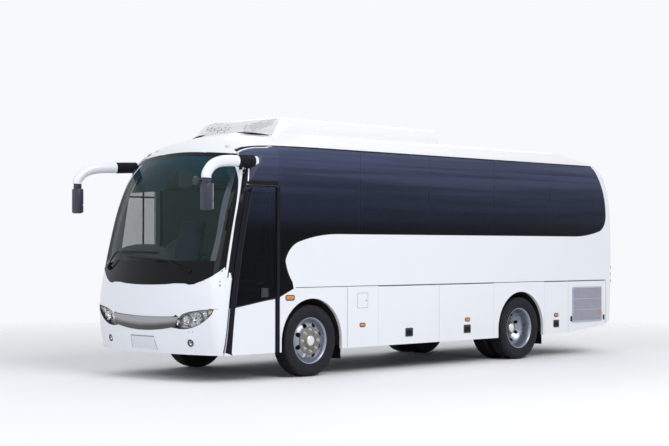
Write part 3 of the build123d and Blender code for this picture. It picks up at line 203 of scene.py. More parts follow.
def seat_cloth(dark, light):
    """A weave of two sets of threads, with a slow drift in tone."""
    n = Material("seat_cloth")
    waves = {"Vector": n.place, "Scale": 160, "Distortion": 0.6}
    threads = [n.add("ShaderNodeTexWave", waves, "Fac", bands_direction=way) for way in "XZ"]
    weave = n.maths("MULTIPLY", *threads)
    tone = n.mix(n.noise(9), dark, light)
    n.set(Base_Color=n.mix(n.remap(weave, 0, 1, 0.0, 0.6), tone, rgba(dark, 0.5)), Roughness=0.9,
          Sheen_Weight=0.3)
    n.bump(weave, 0.5, 0.001)
    return n.mat


def dark_glass(name, see_through, ahead=None):
    """Tinted glass with a painted sky reflection that makes it paler and bluer towards its top, and painted
    reflection streaks. Ahead of a line it may let less or more light through.
    """
    n = Material(name)
    _, along, height = n.split()
    # Painted reflection: stretched noise gives pale horizontal streaks across the glass
    drift = n.remap(n.noise(1.3, 5, (1, 0.16, 9.0)), 0.35, 0.65, 0.6, 1.15)
    # Painted sky reflection: from the middle of the pane up, the dark tint turns paler and bluer
    middle = n.mix(n.remap(height, 1.85, 2.35), (0.002, 0.0025, 0.004), (0.022, 0.029, 0.056))
    painted_sky_reflection = n.mix(n.remap(height, 2.35, 2.9), middle, (0.072, 0.086, 0.155))
    n.set(Base_Color=n.mix(drift, (0.001, 0.001, 0.002), painted_sky_reflection), Roughness=0.03, IOR=1.16,
          Alpha=1 - see_through)
    if ahead:
        n.set(Alpha=n.remap(n.maths("LESS_THAN", along, ahead[0]), 0, 1, 1 - see_through, ahead[1]))
    return n.mat


DASH_LINE = 1.505
SCREEN_TOP = (2.908, 0.148)
FRIT = 0.055
SHADE_BAND = 0.42
SIDE_BORDER = 1.115


def screen_glass():
    """Windscreen: clear, with a teal band at the top and a black printed border."""
    n = Material("windscreen_glass")
    x, _, z = n.split()
    bow = n.maths("MULTIPLY", n.maths("MULTIPLY", x, x), SCREEN_TOP[1] / HALF_WIDTH ** 2)
    below_top = n.maths("SUBTRACT", n.maths("SUBTRACT", SCREEN_TOP[0], bow), z)
    rise = n.maths("SUBTRACT", z, 1.85)
    edge = n.maths("ADD", n.maths("ABSOLUTE", x), n.maths("MULTIPLY", n.maths("MULTIPLY", rise, rise), 0.1))
    border = n.maths("GREATER_THAN", edge, SIDE_BORDER)
    border = n.maths("MAXIMUM", n.maths("LESS_THAN", z, DASH_LINE), border)
    border = n.maths("MAXIMUM", border, n.maths("LESS_THAN", below_top, FRIT))
    band = n.remap(below_top, FRIT, SHADE_BAND, 1.0, 0.0)
    tint = n.mix(band, (0.02, 0.04, 0.038), (0.002, 0.042, 0.068))
    n.set(Base_Color=n.mix(border, tint, (0.006, 0.006, 0.007)), Roughness=0.02, IOR=1.22,
          Alpha=n.maths("MAXIMUM", border, n.remap(band, 0, 1, 0.34, 0.86)))
    return n.mat


def door_paint():
    """The door leaf: white below its glass, and dark where the seals frame the glass."""
    n = Material("door_paint")
    _, along, height = n.split()
    sill = n.maths("MULTIPLY", n.maths("SUBTRACT", along, AXLE_1 - 1.383), 0.116)
    framed = n.maths("GREATER_THAN", n.maths("SUBTRACT", height, sill), 0.935)
    n.set(Base_Color=n.mix(framed, WHITE, (0.03, 0.034, 0.055)), IOR=1.35, Coat_Weight=0.1,
          Coat_Roughness=0.04, Roughness=n.remap(n.noise(1.7), 0.3, 0.7, 0.27, 0.31))
    return n.mat


def strip_finish():
    """Satin metal, darker along its lower middle."""
    n = Material("strip_metal")
    x, _, z = n.split()
    shade = n.maths("ADD", z, n.maths("MULTIPLY", n.maths("MULTIPLY", x, x), -0.12))
    shade = n.maths("ADD", shade, n.maths("MULTIPLY", n.noise(5, 3, (1, 1, 4)), 0.02))
    colour = n.mix(n.remap(shade, 0.69, 0.745), (0.075, 0.072, 0.07), (0.34, 0.345, 0.36))
    n.set(Base_Color=colour, Roughness=0.28, Metallic=0.5)
    return n.mat


TYRE = tread_rubber()
CLOTH = seat_cloth((0.05, 0.06, 0.11), (0.09, 0.1, 0.17))

NODE_FINISH = {
    DOORWAY_WALL: ["left_side_wall"],
    BODY: ["front_mask", "rear_wall", "right_side_wall", "engine_lid"]
    + [f"{side}_{lid}" for side in SIDES for lid in LIDS],
    ROOF: ["roof_shell", "roof_unit", "roof_hatch"],
    dark_glass("tinted_glass", 0.14, (AXLE_1 - 0.6, 1.0)): ["left_side_glass", "rear_glass"],
    dark_glass("driver_side_glass", 0.14, (AXLE_1 - 0.545, 0.2)): ["right_side_glass"],
    dark_glass("door_tint", 0.22): ["door_glass"],
    door_paint(): ["door_leaf"],
    screen_glass(): ["windscreen"],
    CLEAR: ["headlamps", "fog_lamps"],
    RED: ["tail_lamps"],
    FLOORING: ["floor_deck", "entrance_steps"],
    CHASSIS: ["chassis_frame", "front_axle", "rear_axle", "springs", "knuckle_left", "knuckle_right",
              "door_arm", "luggage_bays"],
    LINER: ["wheel_housings"],
    RUBBER: ["mudflaps"],
    ENGINE: ["engine"],
    DASH: ["dashboard"],
    PLASTIC: ["steering_wheel", "mirror_left", "mirror_right"],
    CLOTH: ["driver_seat", "passenger_seats"],
    SILVER: [f"{end}_{side}" for end in ("front_rim", "rear_rims") for side in SIDES],
    TYRE: [f"{end}_{side}" for end in ("front_tyre", "rear_tyres") for side in SIDES],
}
for finish, names in NODE_FINISH.items():
    for name in names:
        slots = NODES[name].data.materials
        slots.clear()
        slots.append(finish)


# Mesh helpers


def skin(*meshes):
    """A search tree over the faces of some meshes."""
    points, faces = [], []
    for mesh in meshes:
        start = len(points)
        points += [v.co.copy() for v in mesh.vertices]
        faces += [[start + i for i in p.vertices] for p in mesh.polygons]
    return BVHTree.FromPolygons(points, faces)


OUTSIDE = 6.0
SKIN_NODES = ["front_mask", "windscreen", "rear_wall", "rear_glass", "left_side_wall", "right_side_wall",
              "left_side_glass", "right_side_glass", "roof_shell", "door_leaf", "door_glass", "engine_lid",
              "headlamps", "fog_lamps", "tail_lamps"] + [f"{side}_{lid}" for side in SIDES for lid in LIDS]
BODY_SKIN = skin(*[NODES[name].data for name in SKIN_NODES])


def caster(origin, direction, tree=BODY_SKIN):
    """A function from two surface coordinates to a point on the body and its outward normal."""
    way = Vector(direction)

    def hit(u, v):
        start = Vector(origin(u, v))
        point, normal, _, _ = tree.ray_cast(start, way)
        if point is None:
            point, normal, _, _ = tree.find_nearest(start + way * OUTSIDE / 2)
        return point, -normal if normal.dot(way) > 0 else normal
    return hit


def from_above(u, v):
    return u, AXLE_1 + v, OUTSIDE


ON_SIDE = {sign: caster(lambda u, v, s=sign: (s * OUTSIDE, AXLE_1 + u, v), (-sign, 0, 0)) for sign in (1, -1)}
LEFT = ON_SIDE[1]
AHEAD = caster(lambda u, v: (u, -OUTSIDE - 2, v), (0, 1, 0))
BEHIND = caster(lambda u, v: (u, OUTSIDE + 2, v), (0, -1, 0))
ABOVE = caster(from_above, (0, 0, -1))


def inside_front(depth):
    """Like AHEAD, but some way behind the surface."""

    def hit(u, v):
        point, normal = AHEAD(u, v)
        return point + Vector((0, depth, 0)), normal
    return hit


def mirrored(points, sign):
    return [(sign * u, v) for u, v in points]


def mm(*pairs):
    """Pairs given in millimetres."""
    return [(a / 1000, b / 1000) for a, b in pairs]


def rounded(u, v, width, height, radius, per_corner=6):
    """The outline of a rounded rectangle around (u, v)."""
    points = []
    for cu, cv, start in ((1, 1, 0), (-1, 1, 90), (-1, -1, 180), (1, -1, 270)):
        for k in range(per_corner + 1):
            a = radians(start + 90 * k / per_corner)
            points.append((u + cu * (width / 2 - radius) + radius * cos(a),
                           v + cv * (height / 2 - radius) + radius * sin(a)))
    return points


def between(a, b, share):
    return tuple(p + (q - p) * share for p, q in zip(a, b))


def smooth_path(points, per_span=10):
    """A Catmull-Rom curve through points."""
    pts = [Vector(p) for p in points]
    pts = [pts[0] * 2 - pts[1]] + pts + [pts[-1] * 2 - pts[-2]]
    out = []
    for i in range(1, len(pts) - 2):
        a, b, c, d = pts[i - 1:i + 3]
        for k in range(per_span):
            t = k / per_span
            out.append(0.5 * (2 * b + (c - a) * t + (2 * a - 5 * b + 4 * c - d) * t * t
                              + (3 * b - a - 3 * c + d) * t ** 3))
    out.append(pts[-2])
    return out


def slices(bm, axis, places, dist=1e-6):
    """Cuts edges into a mesh where it crosses some places along an axis."""
    for place in places:
        co, normal = [0, 0, 0], [0, 0, 0]
        co[axis] = place
        normal[axis] = 1
        parts = bm.verts[:] + bm.edges[:] + bm.faces[:]
        bmesh.ops.bisect_plane(bm, geom=parts, plane_co=co, plane_no=normal, dist=dist)


def mesh_of(name, bm):
    """Turns a bmesh into a mesh and frees it."""
    mesh = bpy.data.meshes.new(name)
    bm.to_mesh(mesh)
    bm.free()
    return mesh


class Draft:
    """A mesh in the making. Plates, ribbons and domes lie where its caster hits the body."""

    def __init__(self, hit=None):
        self.bm = bmesh.new()
        self.hit = hit

    def loop(self, points):
        return [self.bm.verts.new(p) for p in points]

    def bridge(self, loops, around=False, closed=True):
        """Faces from loop to loop, where a loop may be one point; around also joins the last to the first."""
        for low, high in zip(loops, loops[1:] + loops[:1] if around else loops[1:]):
            count = max(len(low), len(high))
            for k in range(count if closed else count - 1):
                m = (k + 1) % count
                corners = (low[k % len(low)], low[m % len(low)], high[m % len(high)], high[k % len(high)])
                self.bm.faces.new(list(dict.fromkeys(corners)))
        return self

    def plate(self, tops, bottoms, faces):
        """Adds a plate from matching top and bottom points and the top's faces."""
        up, down = self.loop(tops), self.loop(bottoms)
        used = set()
        for face in faces:
            self.bm.faces.new([up[i] for i in face])
            self.bm.faces.new([down[i] for i in reversed(face)])
            used.update(zip(face, face[1:] + face[:1]))
        for a, b in sorted(used):
            if (b, a) not in used:
                self.bm.faces.new([up[b], up[a], down[a], down[b]])
        return self

    def patch(self, outline, lift, sink, step=0.06, crown=None):
        """A plate that lies on the body inside an outline given in two surface coordinates."""
        flat = bmesh.new()
        flat.faces.new([flat.verts.new((u, v, 0)) for u, v in outline])
        bmesh.ops.triangulate(flat, faces=flat.faces[:])
        for axis in (0, 1):
            low = min(p[axis] for p in outline)
            size = max(p[axis] for p in outline) - low
            count = max(1, int(size / step))
            slices(flat, axis, [low + size * k / (count + 1) for k in range(1, count + 1)])
        flat.verts.ensure_lookup_table()
        flat.verts.index_update()
        tops, bottoms = [], []
        for v in flat.verts:
            point, normal = self.hit(v.co.x, v.co.y)
            tops.append(point + normal * (lift + (crown(v.co.x, v.co.y) if crown else 0.0)))
            bottoms.append(point - normal * sink)
        faces = [[v.index for v in f.verts] for f in flat.faces]
        flat.free()
        return self.plate(tops, bottoms, faces)

    def ribbon(self, line, width, lift, sink, step=0.05, closed=False):
        """A strip of constant width along a line on the body."""
        dense = []
        for start, end in zip(line, line[1:] + line[:1] if closed else line[1:]):
            count = max(1, int(hypot(end[0] - start[0], end[1] - start[1]) / step))
            dense += [between(start, end, k / count) for k in range(count)]
        if not closed:
            dense.append(line[-1])
        total = len(dense)
        tops, bottoms = [], []
        for i, (u, v) in enumerate(dense):
            before = dense[i - 1] if closed or i else dense[0]
            after = dense[(i + 1) % total] if closed or i < total - 1 else dense[-1]
            du, dv = after[0] - before[0], after[1] - before[1]
            size = hypot(du, dv) or 1.0
            for side in (-0.5, 0.5):
                point, normal = self.hit(u - dv / size * width * side, v + du / size * width * side)
                tops.append(point + normal * lift)
                bottoms.append(point - normal * sink)
        count = total if closed else total - 1
        nexts = [(i + 1) % total for i in range(count)]
        return self.plate(tops, bottoms, [[2 * i, 2 * i + 1, 2 * m + 1, 2 * m] for i, m in enumerate(nexts)])

    def dome(self, u, v, width, height, rise, sink=0.004, rings=5, around=28, power=2.4):
        """A crowned lens or button on the body."""
        centre, normal = self.hit(u, v)
        right = (self.hit(u + 0.01, v)[0] - self.hit(u - 0.01, v)[0]).normalized()
        up = normal.cross(right).normalized()
        if up.dot(self.hit(u, v + 0.01)[0] - centre) < 0:
            up = -up
        loops = []
        for j in range(rings + 1):
            share = cos(j / rings * pi / 2)
            loop = []
            for k in range(around if j < rings else 1):
                x, y = (abs(c) ** (2 / power) * (1 if c >= 0 else -1) * share / 2
                        for c in (cos(2 * pi * k / around), sin(2 * pi * k / around)))
                out = normal * (rise * sin(j / rings * pi / 2))
                loop.append(self.bm.verts.new(centre + right * x * width + up * y * height + out))
            loops.append(loop)
        base = self.loop([v.co - normal * (sink + 0.001) for v in loops[0]])
        self.bm.faces.new(base)
        return self.bridge([base] + loops)

    def tube(self, path, size, around=20, hint=(1, 0, 0)):
        """A tube along a path. size(share) gives its two half widths, along the hint and across it."""
        loops = []
        last = len(path) - 1
        for i, point in enumerate(path):
            way = (path[min(last, i + 1)] - path[max(0, i - 1)]).normalized()
            across = (Vector(hint) - way * way.dot(Vector(hint))).normalized()
            other = way.cross(across)
            a, b = size(i / last)
            turns = [2 * pi * k / around for k in range(around)]
            loops.append(self.loop([point + across * a * cos(t) + other * b * sin(t) for t in turns]))
        self.bridge(loops)
        self.bm.faces.new(loops[0])
        self.bm.faces.new(loops[-1])
        return self

    def turned(self, profile, centre=(0, 0, 0), sign=1, around=72, shape=None):
        """A ring turned about the X axis through centre, from distances outward and radii."""
        cx, cy, cz = centre
        loops = []
        for k in range(around):
            a = 2 * pi * k / around
            ring = [shape(d, r, a) for d, r in profile] if shape else profile
            loops.append(self.loop([(cx + sign * d, cy + r * cos(a), cz + r * sin(a)) for d, r in ring]))
        return self.bridge(loops, True)

    def box(self, low, high, bevel=0.0):
        """A box between two corners with rounded edges."""
        size = Vector(high) - Vector(low)
        where = Matrix.Translation((Vector(high) + Vector(low)) / 2) @ Matrix.Diagonal((*size, 1))
        made = bmesh.ops.create_cube(self.bm, size=1.0, matrix=where)
        if bevel:
            edges = list({e for v in made["verts"] for e in v.link_edges})
            bmesh.ops.bevel(self.bm, geom=edges, offset=bevel, segments=2, affect="EDGES", profile=0.5)
        return self

    def join(self, other, matrix):
        """Adds another draft, moved by a matrix."""
        bmesh.ops.transform(other.bm, matrix=matrix, verts=other.bm.verts[:])
        mesh = mesh_of("placed", other.bm)
        self.bm.from_mesh(mesh)
        bpy.data.meshes.remove(mesh)
        return self


def linked(name, data):
    obj = bpy.data.objects.new(name, data)
    bpy.context.scene.collection.objects.link(obj)
    return obj


def smoothed(mesh, sharp):
    mesh.shade_smooth()
    mesh.set_sharp_from_angle(angle=radians(sharp))


def piece(name, draft, finish, body="root", sharp=35):
    """Turns a draft into an object that rides on a body."""
    bmesh.ops.recalc_face_normals(draft.bm, faces=draft.bm.faces)
    mesh = mesh_of(name, draft.bm)
    mesh.materials.append(finish)
    smoothed(mesh, sharp)
    obj = linked(name, mesh)
    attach(obj, body)
    return obj


def circle(a, b, c):
    """Centre and radius of the circle through three points of a plane."""
    (x1, y1), (x2, y2), (x3, y3) = a, b, c
    d = 2 * (x1 * (y2 - y3) + x2 * (y3 - y1) + x3 * (y1 - y2))
    s1, s2, s3 = (x * x + y * y for x, y in (a, b, c))
    cx = (s1 * (y2 - y3) + s2 * (y3 - y1) + s3 * (y1 - y2)) / d
    cy = (s1 * (x3 - x2) + s2 * (x1 - x3) + s3 * (x2 - x1)) / d
    return cx, cy, hypot(x1 - cx, y1 - cy)


PANEL_ARC = circle((-1.5, 0.25), (-1.35, 1.48), (-1.0, 2.96))


def panel_line(z):
    """The station of the line between the front panel and the side, at a height."""
    cy, cz, radius = PANEL_ARC
    return cy - sqrt(radius ** 2 - (z - cz) ** 2)


def beside(offset, heights):
    """Points at a fixed distance from the panel line."""
    return [(panel_line(z) + offset, z) for z in heights]


# Door: seals, trim and lock
DOOR_REAR = -0.645
DOOR_HEIGHTS = [0.306 + (2.434 - 0.306) * k / 30 for k in range(31)]
seals = Draft(LEFT).ribbon(beside(0.056, DOOR_HEIGHTS), 0.082, 0.006, 0.004)
seals.ribbon([(DOOR_REAR - 0.008, z) for z in DOOR_HEIGHTS], 0.013, 0.006, 0.004)
seals.box((1.22, AXLE_1 - 1.125, 2.433), (1.238, AXLE_1 - 0.65, 2.443))
piece("door_seals", seals, RUBBER, "door_leaf")
trim = Draft(LEFT).ribbon([(panel_line(0.93) + 0.1, 0.931), (DOOR_REAR - 0.016, 1.032)], 0.012, 0.002, 0.003)
trim.ribbon(beside(0.103, DOOR_HEIGHTS[9:]), 0.006, 0.0045, 0.003)
piece("door_glass_trim", trim, PLASTIC, "door_leaf")
seals = Draft(LEFT).ribbon([(-0.609, z) for z in DOOR_HEIGHTS], 0.05, 0.006, 0.004)
seals.ribbon(beside(-0.005, DOOR_HEIGHTS), 0.008, 0.004, 0.004)
seals.ribbon([(panel_line(2.47) + 0.02, 2.483), (-0.61, 2.483)], 0.05, 0.004, 0.004)
seals.ribbon(beside(0.001, (2.43, 2.48, 2.53, 2.58, 2.63, 2.68)), 0.026, 0.003, 0.004)
piece("doorway_seals", seals, RUBBER, "root")
LOCK = (-0.845, 1.105)
plate = Draft(LEFT).patch(rounded(*LOCK, 0.115, 0.115, 0.018), 0.012, 0.002)
piece("door_lock_plate", plate, MIRROR_GREY, "door_leaf")
lock = Draft(LEFT).ribbon(rounded(*LOCK, 0.08, 0.08, 0.012), 0.008, 0.018, 0.0, 0.02, True)
piece("door_lock_handle", lock.dome(LOCK[0], 1.095, 0.045, 0.022, 0.022), PLASTIC, "door_leaf")

# Around the windscreen: a white strip up each side, a black seal behind it and black corners
SIDE_STRIP = ((1.3, 0.088), (1.555, 0.081), (1.762, 0.077), (2.026, 0.074), (2.313, 0.06), (2.487, 0.048),
              (2.643, 0.031))
CORNER = mm((450, 2893), (750, 2873), (920, 2856), (1010, 2826), (1075, 2765), (1108, 2690), (1115, 2630),
            (1085, 2625), (1060, 2680), (980, 2760), (800, 2825), (450, 2875))
strip, black = Draft(), Draft()
for sign in SIDES.values():
    strip.hit = black.hit = ON_SIDE[sign]
    strip.ribbon([(panel_line(z) - ahead, z) for z, ahead in SIDE_STRIP], 0.017, 0.004, 0.003, 0.03)
    front = [(panel_line(z) - ahead + 0.009, z) for z, ahead in SIDE_STRIP]
    rear = beside(-0.007, [z for z, _ in SIDE_STRIP])
    black.patch(front + rear[::-1], 0.0025, 0.003, 0.08)
    black.hit = AHEAD
    black.patch(mirrored(CORNER, sign), 0.002, 0.003, 0.04)
piece("screen_side_strips", strip, BODY)
# The border's lower edge dips at the wipers and rises to the corners
FOOT_EDGE = mm((0, 1200), (200, 1202), (400, 1210), (550, 1224), (660, 1245), (720, 1224), (780, 1210),
               (850, 1216), (930, 1248))
CORNER_EDGE = ((0.93, 1.25), (0.99, 1.268), (1.05, 1.294), (1.106, 1.325), (1.164, 1.373), (1.208, 1.431),
               (1.213, 1.38), (1.205, 1.31), (1.17, 1.235), (0.93, 1.232))
foot = mirrored(FOOT_EDGE[::-1], -1) + FOOT_EDGE[1:] + [(0.93, 1.275), (-0.93, 1.275)]
piece("screen_surround", black.patch(foot, 0.002, 0.003, 0.06), GLOSS_BLACK)
corners = Draft(AHEAD)
for sign in SIDES.values():
    corners.patch(mirrored(CORNER_EDGE, sign), 0.0025, 0.003, 0.05)
piece("screen_corners", corners, BODY)

# Inside the screen: light pillar trims, seen through the glass
PILLAR = mm((965, 2700), (975, 2290), (1010, 1810), (985, 1450), (1085, 1450), (1112, 1810), (1098, 2290),
            (1060, 2660))
trims = Draft(inside_front(0.045))
for sign in SIDES.values():
    trims.patch(mirrored(PILLAR, sign), 0.0, 0.01, 0.08)
piece("pillar_trims", trims, finish_of("pillar_trim", (0.42, 0.46, 0.56), 0.6, grain=700, relief=0.2))

# Driver's window: bars and frame
bars = Draft(ON_SIDE[-1])
for station, width in ((-0.825, 0.022), (-0.56, 0.05), (-0.512, 0.046)):
    bars.ribbon([(station, 1.42), (station, 2.9)], width, 0.0015, 0.012, 0.2)
bars.ribbon([(-1.26, 2.36), (-0.55, 2.36)], 0.024, 0.0015, 0.012, 0.1)
bars.ribbon([(-1.27, 1.425), (-0.55, 1.365)], 0.034, 0.0015, 0.012, 0.1)
piece("driver_window_bars", bars, RUBBER)

# White trims at the top corner of the side glass, and sealant between the panes
PANE_SEAMS = (0.899, 2.315, 3.744, 5.124)
GLASS_SILL = 1.849
GLASS_CORNER = [(-1.03, 2.868), (-0.985, 2.9), (-0.93, 2.922), (-0.86, 2.935), (-0.7, 2.94)]
for side, sign in SIDES.items():
    trim = Draft(ON_SIDE[sign]).ribbon(GLASS_CORNER, 0.009, 0.003, 0.002)
    if sign > 0:
        trim.ribbon(beside(0.028, (2.5, 2.54, 2.58, 2.62, 2.66)), 0.011, 0.004, 0.002)
    piece(f"{side}_glass_trim", trim, BODY)
    sealant = Draft()
    for seam in PANE_SEAMS:
        sealant.box((sign * 1.2335, AXLE_1 + seam - 0.0024, GLASS_SILL + 0.002),
                    (sign * 1.2394, AXLE_1 + seam + 0.0024, 2.9505), 0.0008)
    piece(f"{side}_pane_sealant", sealant, RUBBER)

# Seams on the sides, the rail over the glass and the seals in the gaps between the lids
BELT = 1.152
RAIL = mm((-1052, 2850), (-1010, 2897), (-950, 2931), (-870, 2950), (-760, 2958), (-600, 2961.5),
          (6350, 2961.5))
for side, sign in SIDES.items():
    start = -0.3 if sign > 0 else -1.37
    belt = [(start, BELT + 0.006), (6.6, BELT + 0.006)]
    seams = Draft(ON_SIDE[sign]).ribbon(belt, 0.009, 0.0012, 0.003, 0.25)
    for station, low in ((0.65, 0.36), (6.615, 0.45)):
        seams.ribbon([(station, low), (station, BELT)], 0.005, 0.0006, 0.003, 0.2)
    piece(f"{side}_panel_seams", seams, SEAM)
    seals = Draft(ON_SIDE[sign]).ribbon(RAIL, 0.017, 0.0025, 0.003, 0.12)
    for station in (1.253, 2.515, 3.75, 4.976, 5.593):
        seals.box((sign * 1.225, AXLE_1 + station - 0.0022, 0.362 if station < 5 else 0.375),
                  (sign * 1.2385, AXLE_1 + station + 0.0022, 1.144))
    piece(f"{side}_gap_seals", seals, RUBBER)

FLAP = (0.946, 0.964)
seam = Draft(LEFT).ribbon(rounded(*FLAP, 0.198, 0.2, 0.012), 0.004, 0.0008, 0.002, 0.03, True)
piece("fuel_flap_seam", seam, SEAM)
piece("fuel_flap", Draft(LEFT).patch(rounded(*FLAP, 0.19, 0.192, 0.01), 0.0022, 0.002), BODY)
piece("fuel_flap_lock", Draft(LEFT).dome(1.012, 0.962, 0.02, 0.02, 0.004, power=2), PLASTIC)


def lamp(name, u, v, width, height, on, body, rise=0.02):
    """A small lamp: a lens over a slightly wider base."""
    outline = rounded(u, v, width + 0.014, height + 0.014, (height + 0.014) * 0.42)
    piece(f"{name}_base", Draft(on).patch(outline, 0.005, 0.003, 0.03), PLASTIC, body)
    piece(name, Draft(on).dome(u, v, width, height, rise, -0.003, power=3), AMBER, body)


def recess_handle(name, u, v, width, height, on, body):
    """A square paddle handle: a rim, a sunken floor and a paddle."""
    rim = Draft(on).patch(rounded(u, v, width, height, 0.01), 0.003, 0.003)
    rim.ribbon(rounded(u, v, width - 0.01, height - 0.01, 0.008), 0.01, 0.007, 0.0, 0.03, True)
    piece(f"{name}_frame", rim, PLASTIC, body)
    outline = rounded(u, v - height * 0.06, width * 0.66, height * 0.52, 0.006)
    paddle = Draft(on).patch(outline, 0.0065, -0.003, 0.03)
    paddle.dome(u, v + height * 0.27, width * 0.12, width * 0.12, 0.008, -0.002, power=2)
    piece(f"{name}_paddle", paddle, GLOSS_BLACK, body)


for side, sign in SIDES.items():
    on = ON_SIDE[sign]
    lamp(f"{side}_indicator", -0.401, 1.03, 0.15, 0.058, on, "root", 0.026)
    for place, body in ((0.941, "root"), (3.137, f"{side}_luggage_door_2"), (5.277, f"{side}_service_door"),
                        (6.445, f"{side}_engine_side_door")):
        lamp(f"{side}_marker_{int(place * 100)}", place, 0.636, 0.098, 0.044, on, body)
# Station, width and height of each handle
HANDLES = ((1.875, 0.15, 0.118), (3.13, 0.15, 0.118), (5.276, 0.135, 0.112))
for side, sign in SIDES.items():
    for k, (place, width, height) in enumerate(HANDLES):
        lid = f"{side}_{LIDS[k]}"
        recess_handle(f"{side}_handle_{k + 1}", place, 0.503, width, height, ON_SIDE[sign], lid)

# Engine grille on the rearmost side lids
GRILLE_SPAN = (5.705, 6.475)
GRILLE_RISE = (0.515, 1.05)
GRILLE_BARS = 33
for side, sign in SIDES.items():
    on = ON_SIDE[sign]
    body = f"{side}_engine_side_door"
    width = GRILLE_SPAN[1] - GRILLE_SPAN[0]
    height = GRILLE_RISE[1] - GRILLE_RISE[0]
    outline = rounded(sum(GRILLE_SPAN) / 2, sum(GRILLE_RISE) / 2, width, height, 0.012)
    piece(f"{side}_grille_back", Draft(on).patch(outline, 0.001, 0.002, 0.2),
          finish_of(f"{side}_grille_shade", (0.16, 0.16, 0.19), 0.8), body)
    bars = Draft(on)
    for k in range(GRILLE_BARS):
        u = GRILLE_SPAN[0] + width * (k + 0.5) / GRILLE_BARS
        bars.ribbon([(u, GRILLE_RISE[0]), (u, GRILLE_RISE[1])], 0.011, 0.009, 0.0, 0.3)
    for share in (0.02, 0.34, 0.66, 0.98):
        v = GRILLE_RISE[0] + height * share
        bars.ribbon([(GRILLE_SPAN[0], v), (GRILLE_SPAN[1], v)], 0.012, 0.011, 0.0, 0.3)
    piece(f"{side}_grille_bars", bars.ribbon(outline, 0.014, 0.012, 0.0, 0.1, True), GRILLE, body)
    latches = Draft(on)
    for u in (5.668, 6.546):
        latches.patch(rounded(u, 0.563, 0.034, 0.082, 0.01), 0.01, 0.002, 0.03)
        latches.ribbon([(u, 0.535), (u, 0.59)], 0.012, 0.016, -0.008, 0.02)
    piece(f"{side}_grille_latches", latches, PLASTIC, body)


# Front: headlamps, bright strip, fog lamps, plate place, wipers


def arc_points(a, b, c, count):
    """Points along the circle through three points of a plane."""
    cx, cy, radius = circle(a, b, c)
    angles = [atan2(y - cy, x - cx) for x, y in (a, b, c)]
    for i in (1, 2):
        while angles[i] - angles[i - 1] > pi:
            angles[i] -= 2 * pi
        while angles[i] - angles[i - 1] < -pi:
            angles[i] += 2 * pi
    steps = [angles[0] + (angles[2] - angles[0]) * k / count for k in range(count + 1)]
    return [(cx + radius * cos(t), cy + radius * sin(t)) for t in steps]


def scaled(outline, share):
    middle = [sum(p[axis] for p in outline) / len(outline) for axis in (0, 1)]
    return [between(middle, point, share) for point in outline]


def facing_matrix(point, facing):
    """Turns a draft's X axis towards a direction and moves it to a point."""
    return Matrix.Translation(point) @ facing.normalized().to_track_quat("X", "Z").to_matrix().to_4x4()


LAMP_EDGE = arc_points((0.413, 0.69), (0.69, 0.872), (1.16, 0.912), 16)
LAMP_EDGE += [(1.135, 0.85)] + arc_points((1.135, 0.85), (0.9, 0.695), (0.64, 0.662), 10)[1:]
LAMP_CORNER = ((1.075, 0.845), (1.115, 0.862), (1.142, 0.896), (1.08, 0.893))
# Round reflectors: place across, height, radius and how deep the bowl is
REFLECTORS = ((0.905, 0.795, 0.07, 0.05), (0.745, 0.775, 0.052, 0.04), (0.62, 0.735, 0.04, 0.032),
              (0.905, 0.722, 0.024, 0.02), (1.025, 0.848, 0.034, 0.028))
shells, rings = Draft(AHEAD), Draft(AHEAD)
floors, ambers = Draft(inside_front(0.07)), Draft(inside_front(0.02))
bowls, bulbs = Draft(), Draft()
for sign in SIDES.values():
    outline = mirrored(LAMP_EDGE, sign)
    shells.patch(scaled(outline, 0.995), 0.0005, 0.004, 0.035)
    floors.patch(scaled(outline, 0.99), 0.0, 0.006, 0.05)
    rings.ribbon(scaled(outline, 0.985), 0.01, -0.004, 0.055, 0.03, True)
    for u, v, r, depth in REFLECTORS:
        point, normal = AHEAD(sign * u, v)
        facing = (Vector((0, -1, 0)) + normal * 0.35).normalized()
        where = facing_matrix(point + Vector((0, 0.026, 0)) - facing * depth * 0.4, facing)
        bowl = [(0.006, r), (0.002, r * 0.97), (-depth * 0.45, r * 0.8), (-depth * 0.8, r * 0.5),
                (-depth, r * 0.16), (-depth - 0.003, r * 0.16), (-depth * 0.8, r * 0.6),
                (-depth * 0.4, r * 0.95), (0.0, r * 1.06), (0.006, r * 1.06)]
        bowls.join(Draft().turned(bowl, around=36), where)
        bulb = [(-depth, 0.0001), (-depth, r * 0.15), (-depth * 0.5, r * 0.2), (-depth * 0.1, r * 0.2),
                (0.0, r * 0.12), (0.003, 0.0001)]
        bulbs.join(Draft().turned(bulb, around=20), where)
    ambers.patch(mirrored(LAMP_CORNER, sign), 0.0, 0.012, 0.03)
lens = piece("headlamp_lenses", shells, CLEAR)
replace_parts(lens, "headlamps")
piece("headlamp_floors", floors, lamp_facets())
piece("headlamp_rims", rings, GLOSS_BLACK)
piece("headlamp_reflectors", bowls, CHROME)
piece("headlamp_bulbs", bulbs, BULB)
piece("headlamp_ambers", ambers, finish_of("pale_amber", (0.8, 0.62, 0.5), 0.2, Coat_Weight=0.4))

# The panel's edge over the inner top of each lamp
LAMP_BROW = [(0.655, 0.798), (0.69, 0.822), (0.727, 0.846), (0.829, 0.875), (0.978, 0.898), (1.105, 0.909)]
OVER_BROW = [(1.105, 0.932), (0.978, 0.934), (0.83, 0.928), (0.69, 0.9), (0.6, 0.86)]
brows, lines = Draft(AHEAD), Draft(AHEAD)
for sign in SIDES.values():
    brows.patch(mirrored(LAMP_BROW + OVER_BROW, sign), 0.003, 0.004, 0.04)
    lines.ribbon(mirrored(LAMP_BROW[1:], sign), 0.007, 0.0045, 0.003, 0.03)
piece("lamp_brows", brows, BODY)
piece("lamp_brow_lines", lines, SEAM)

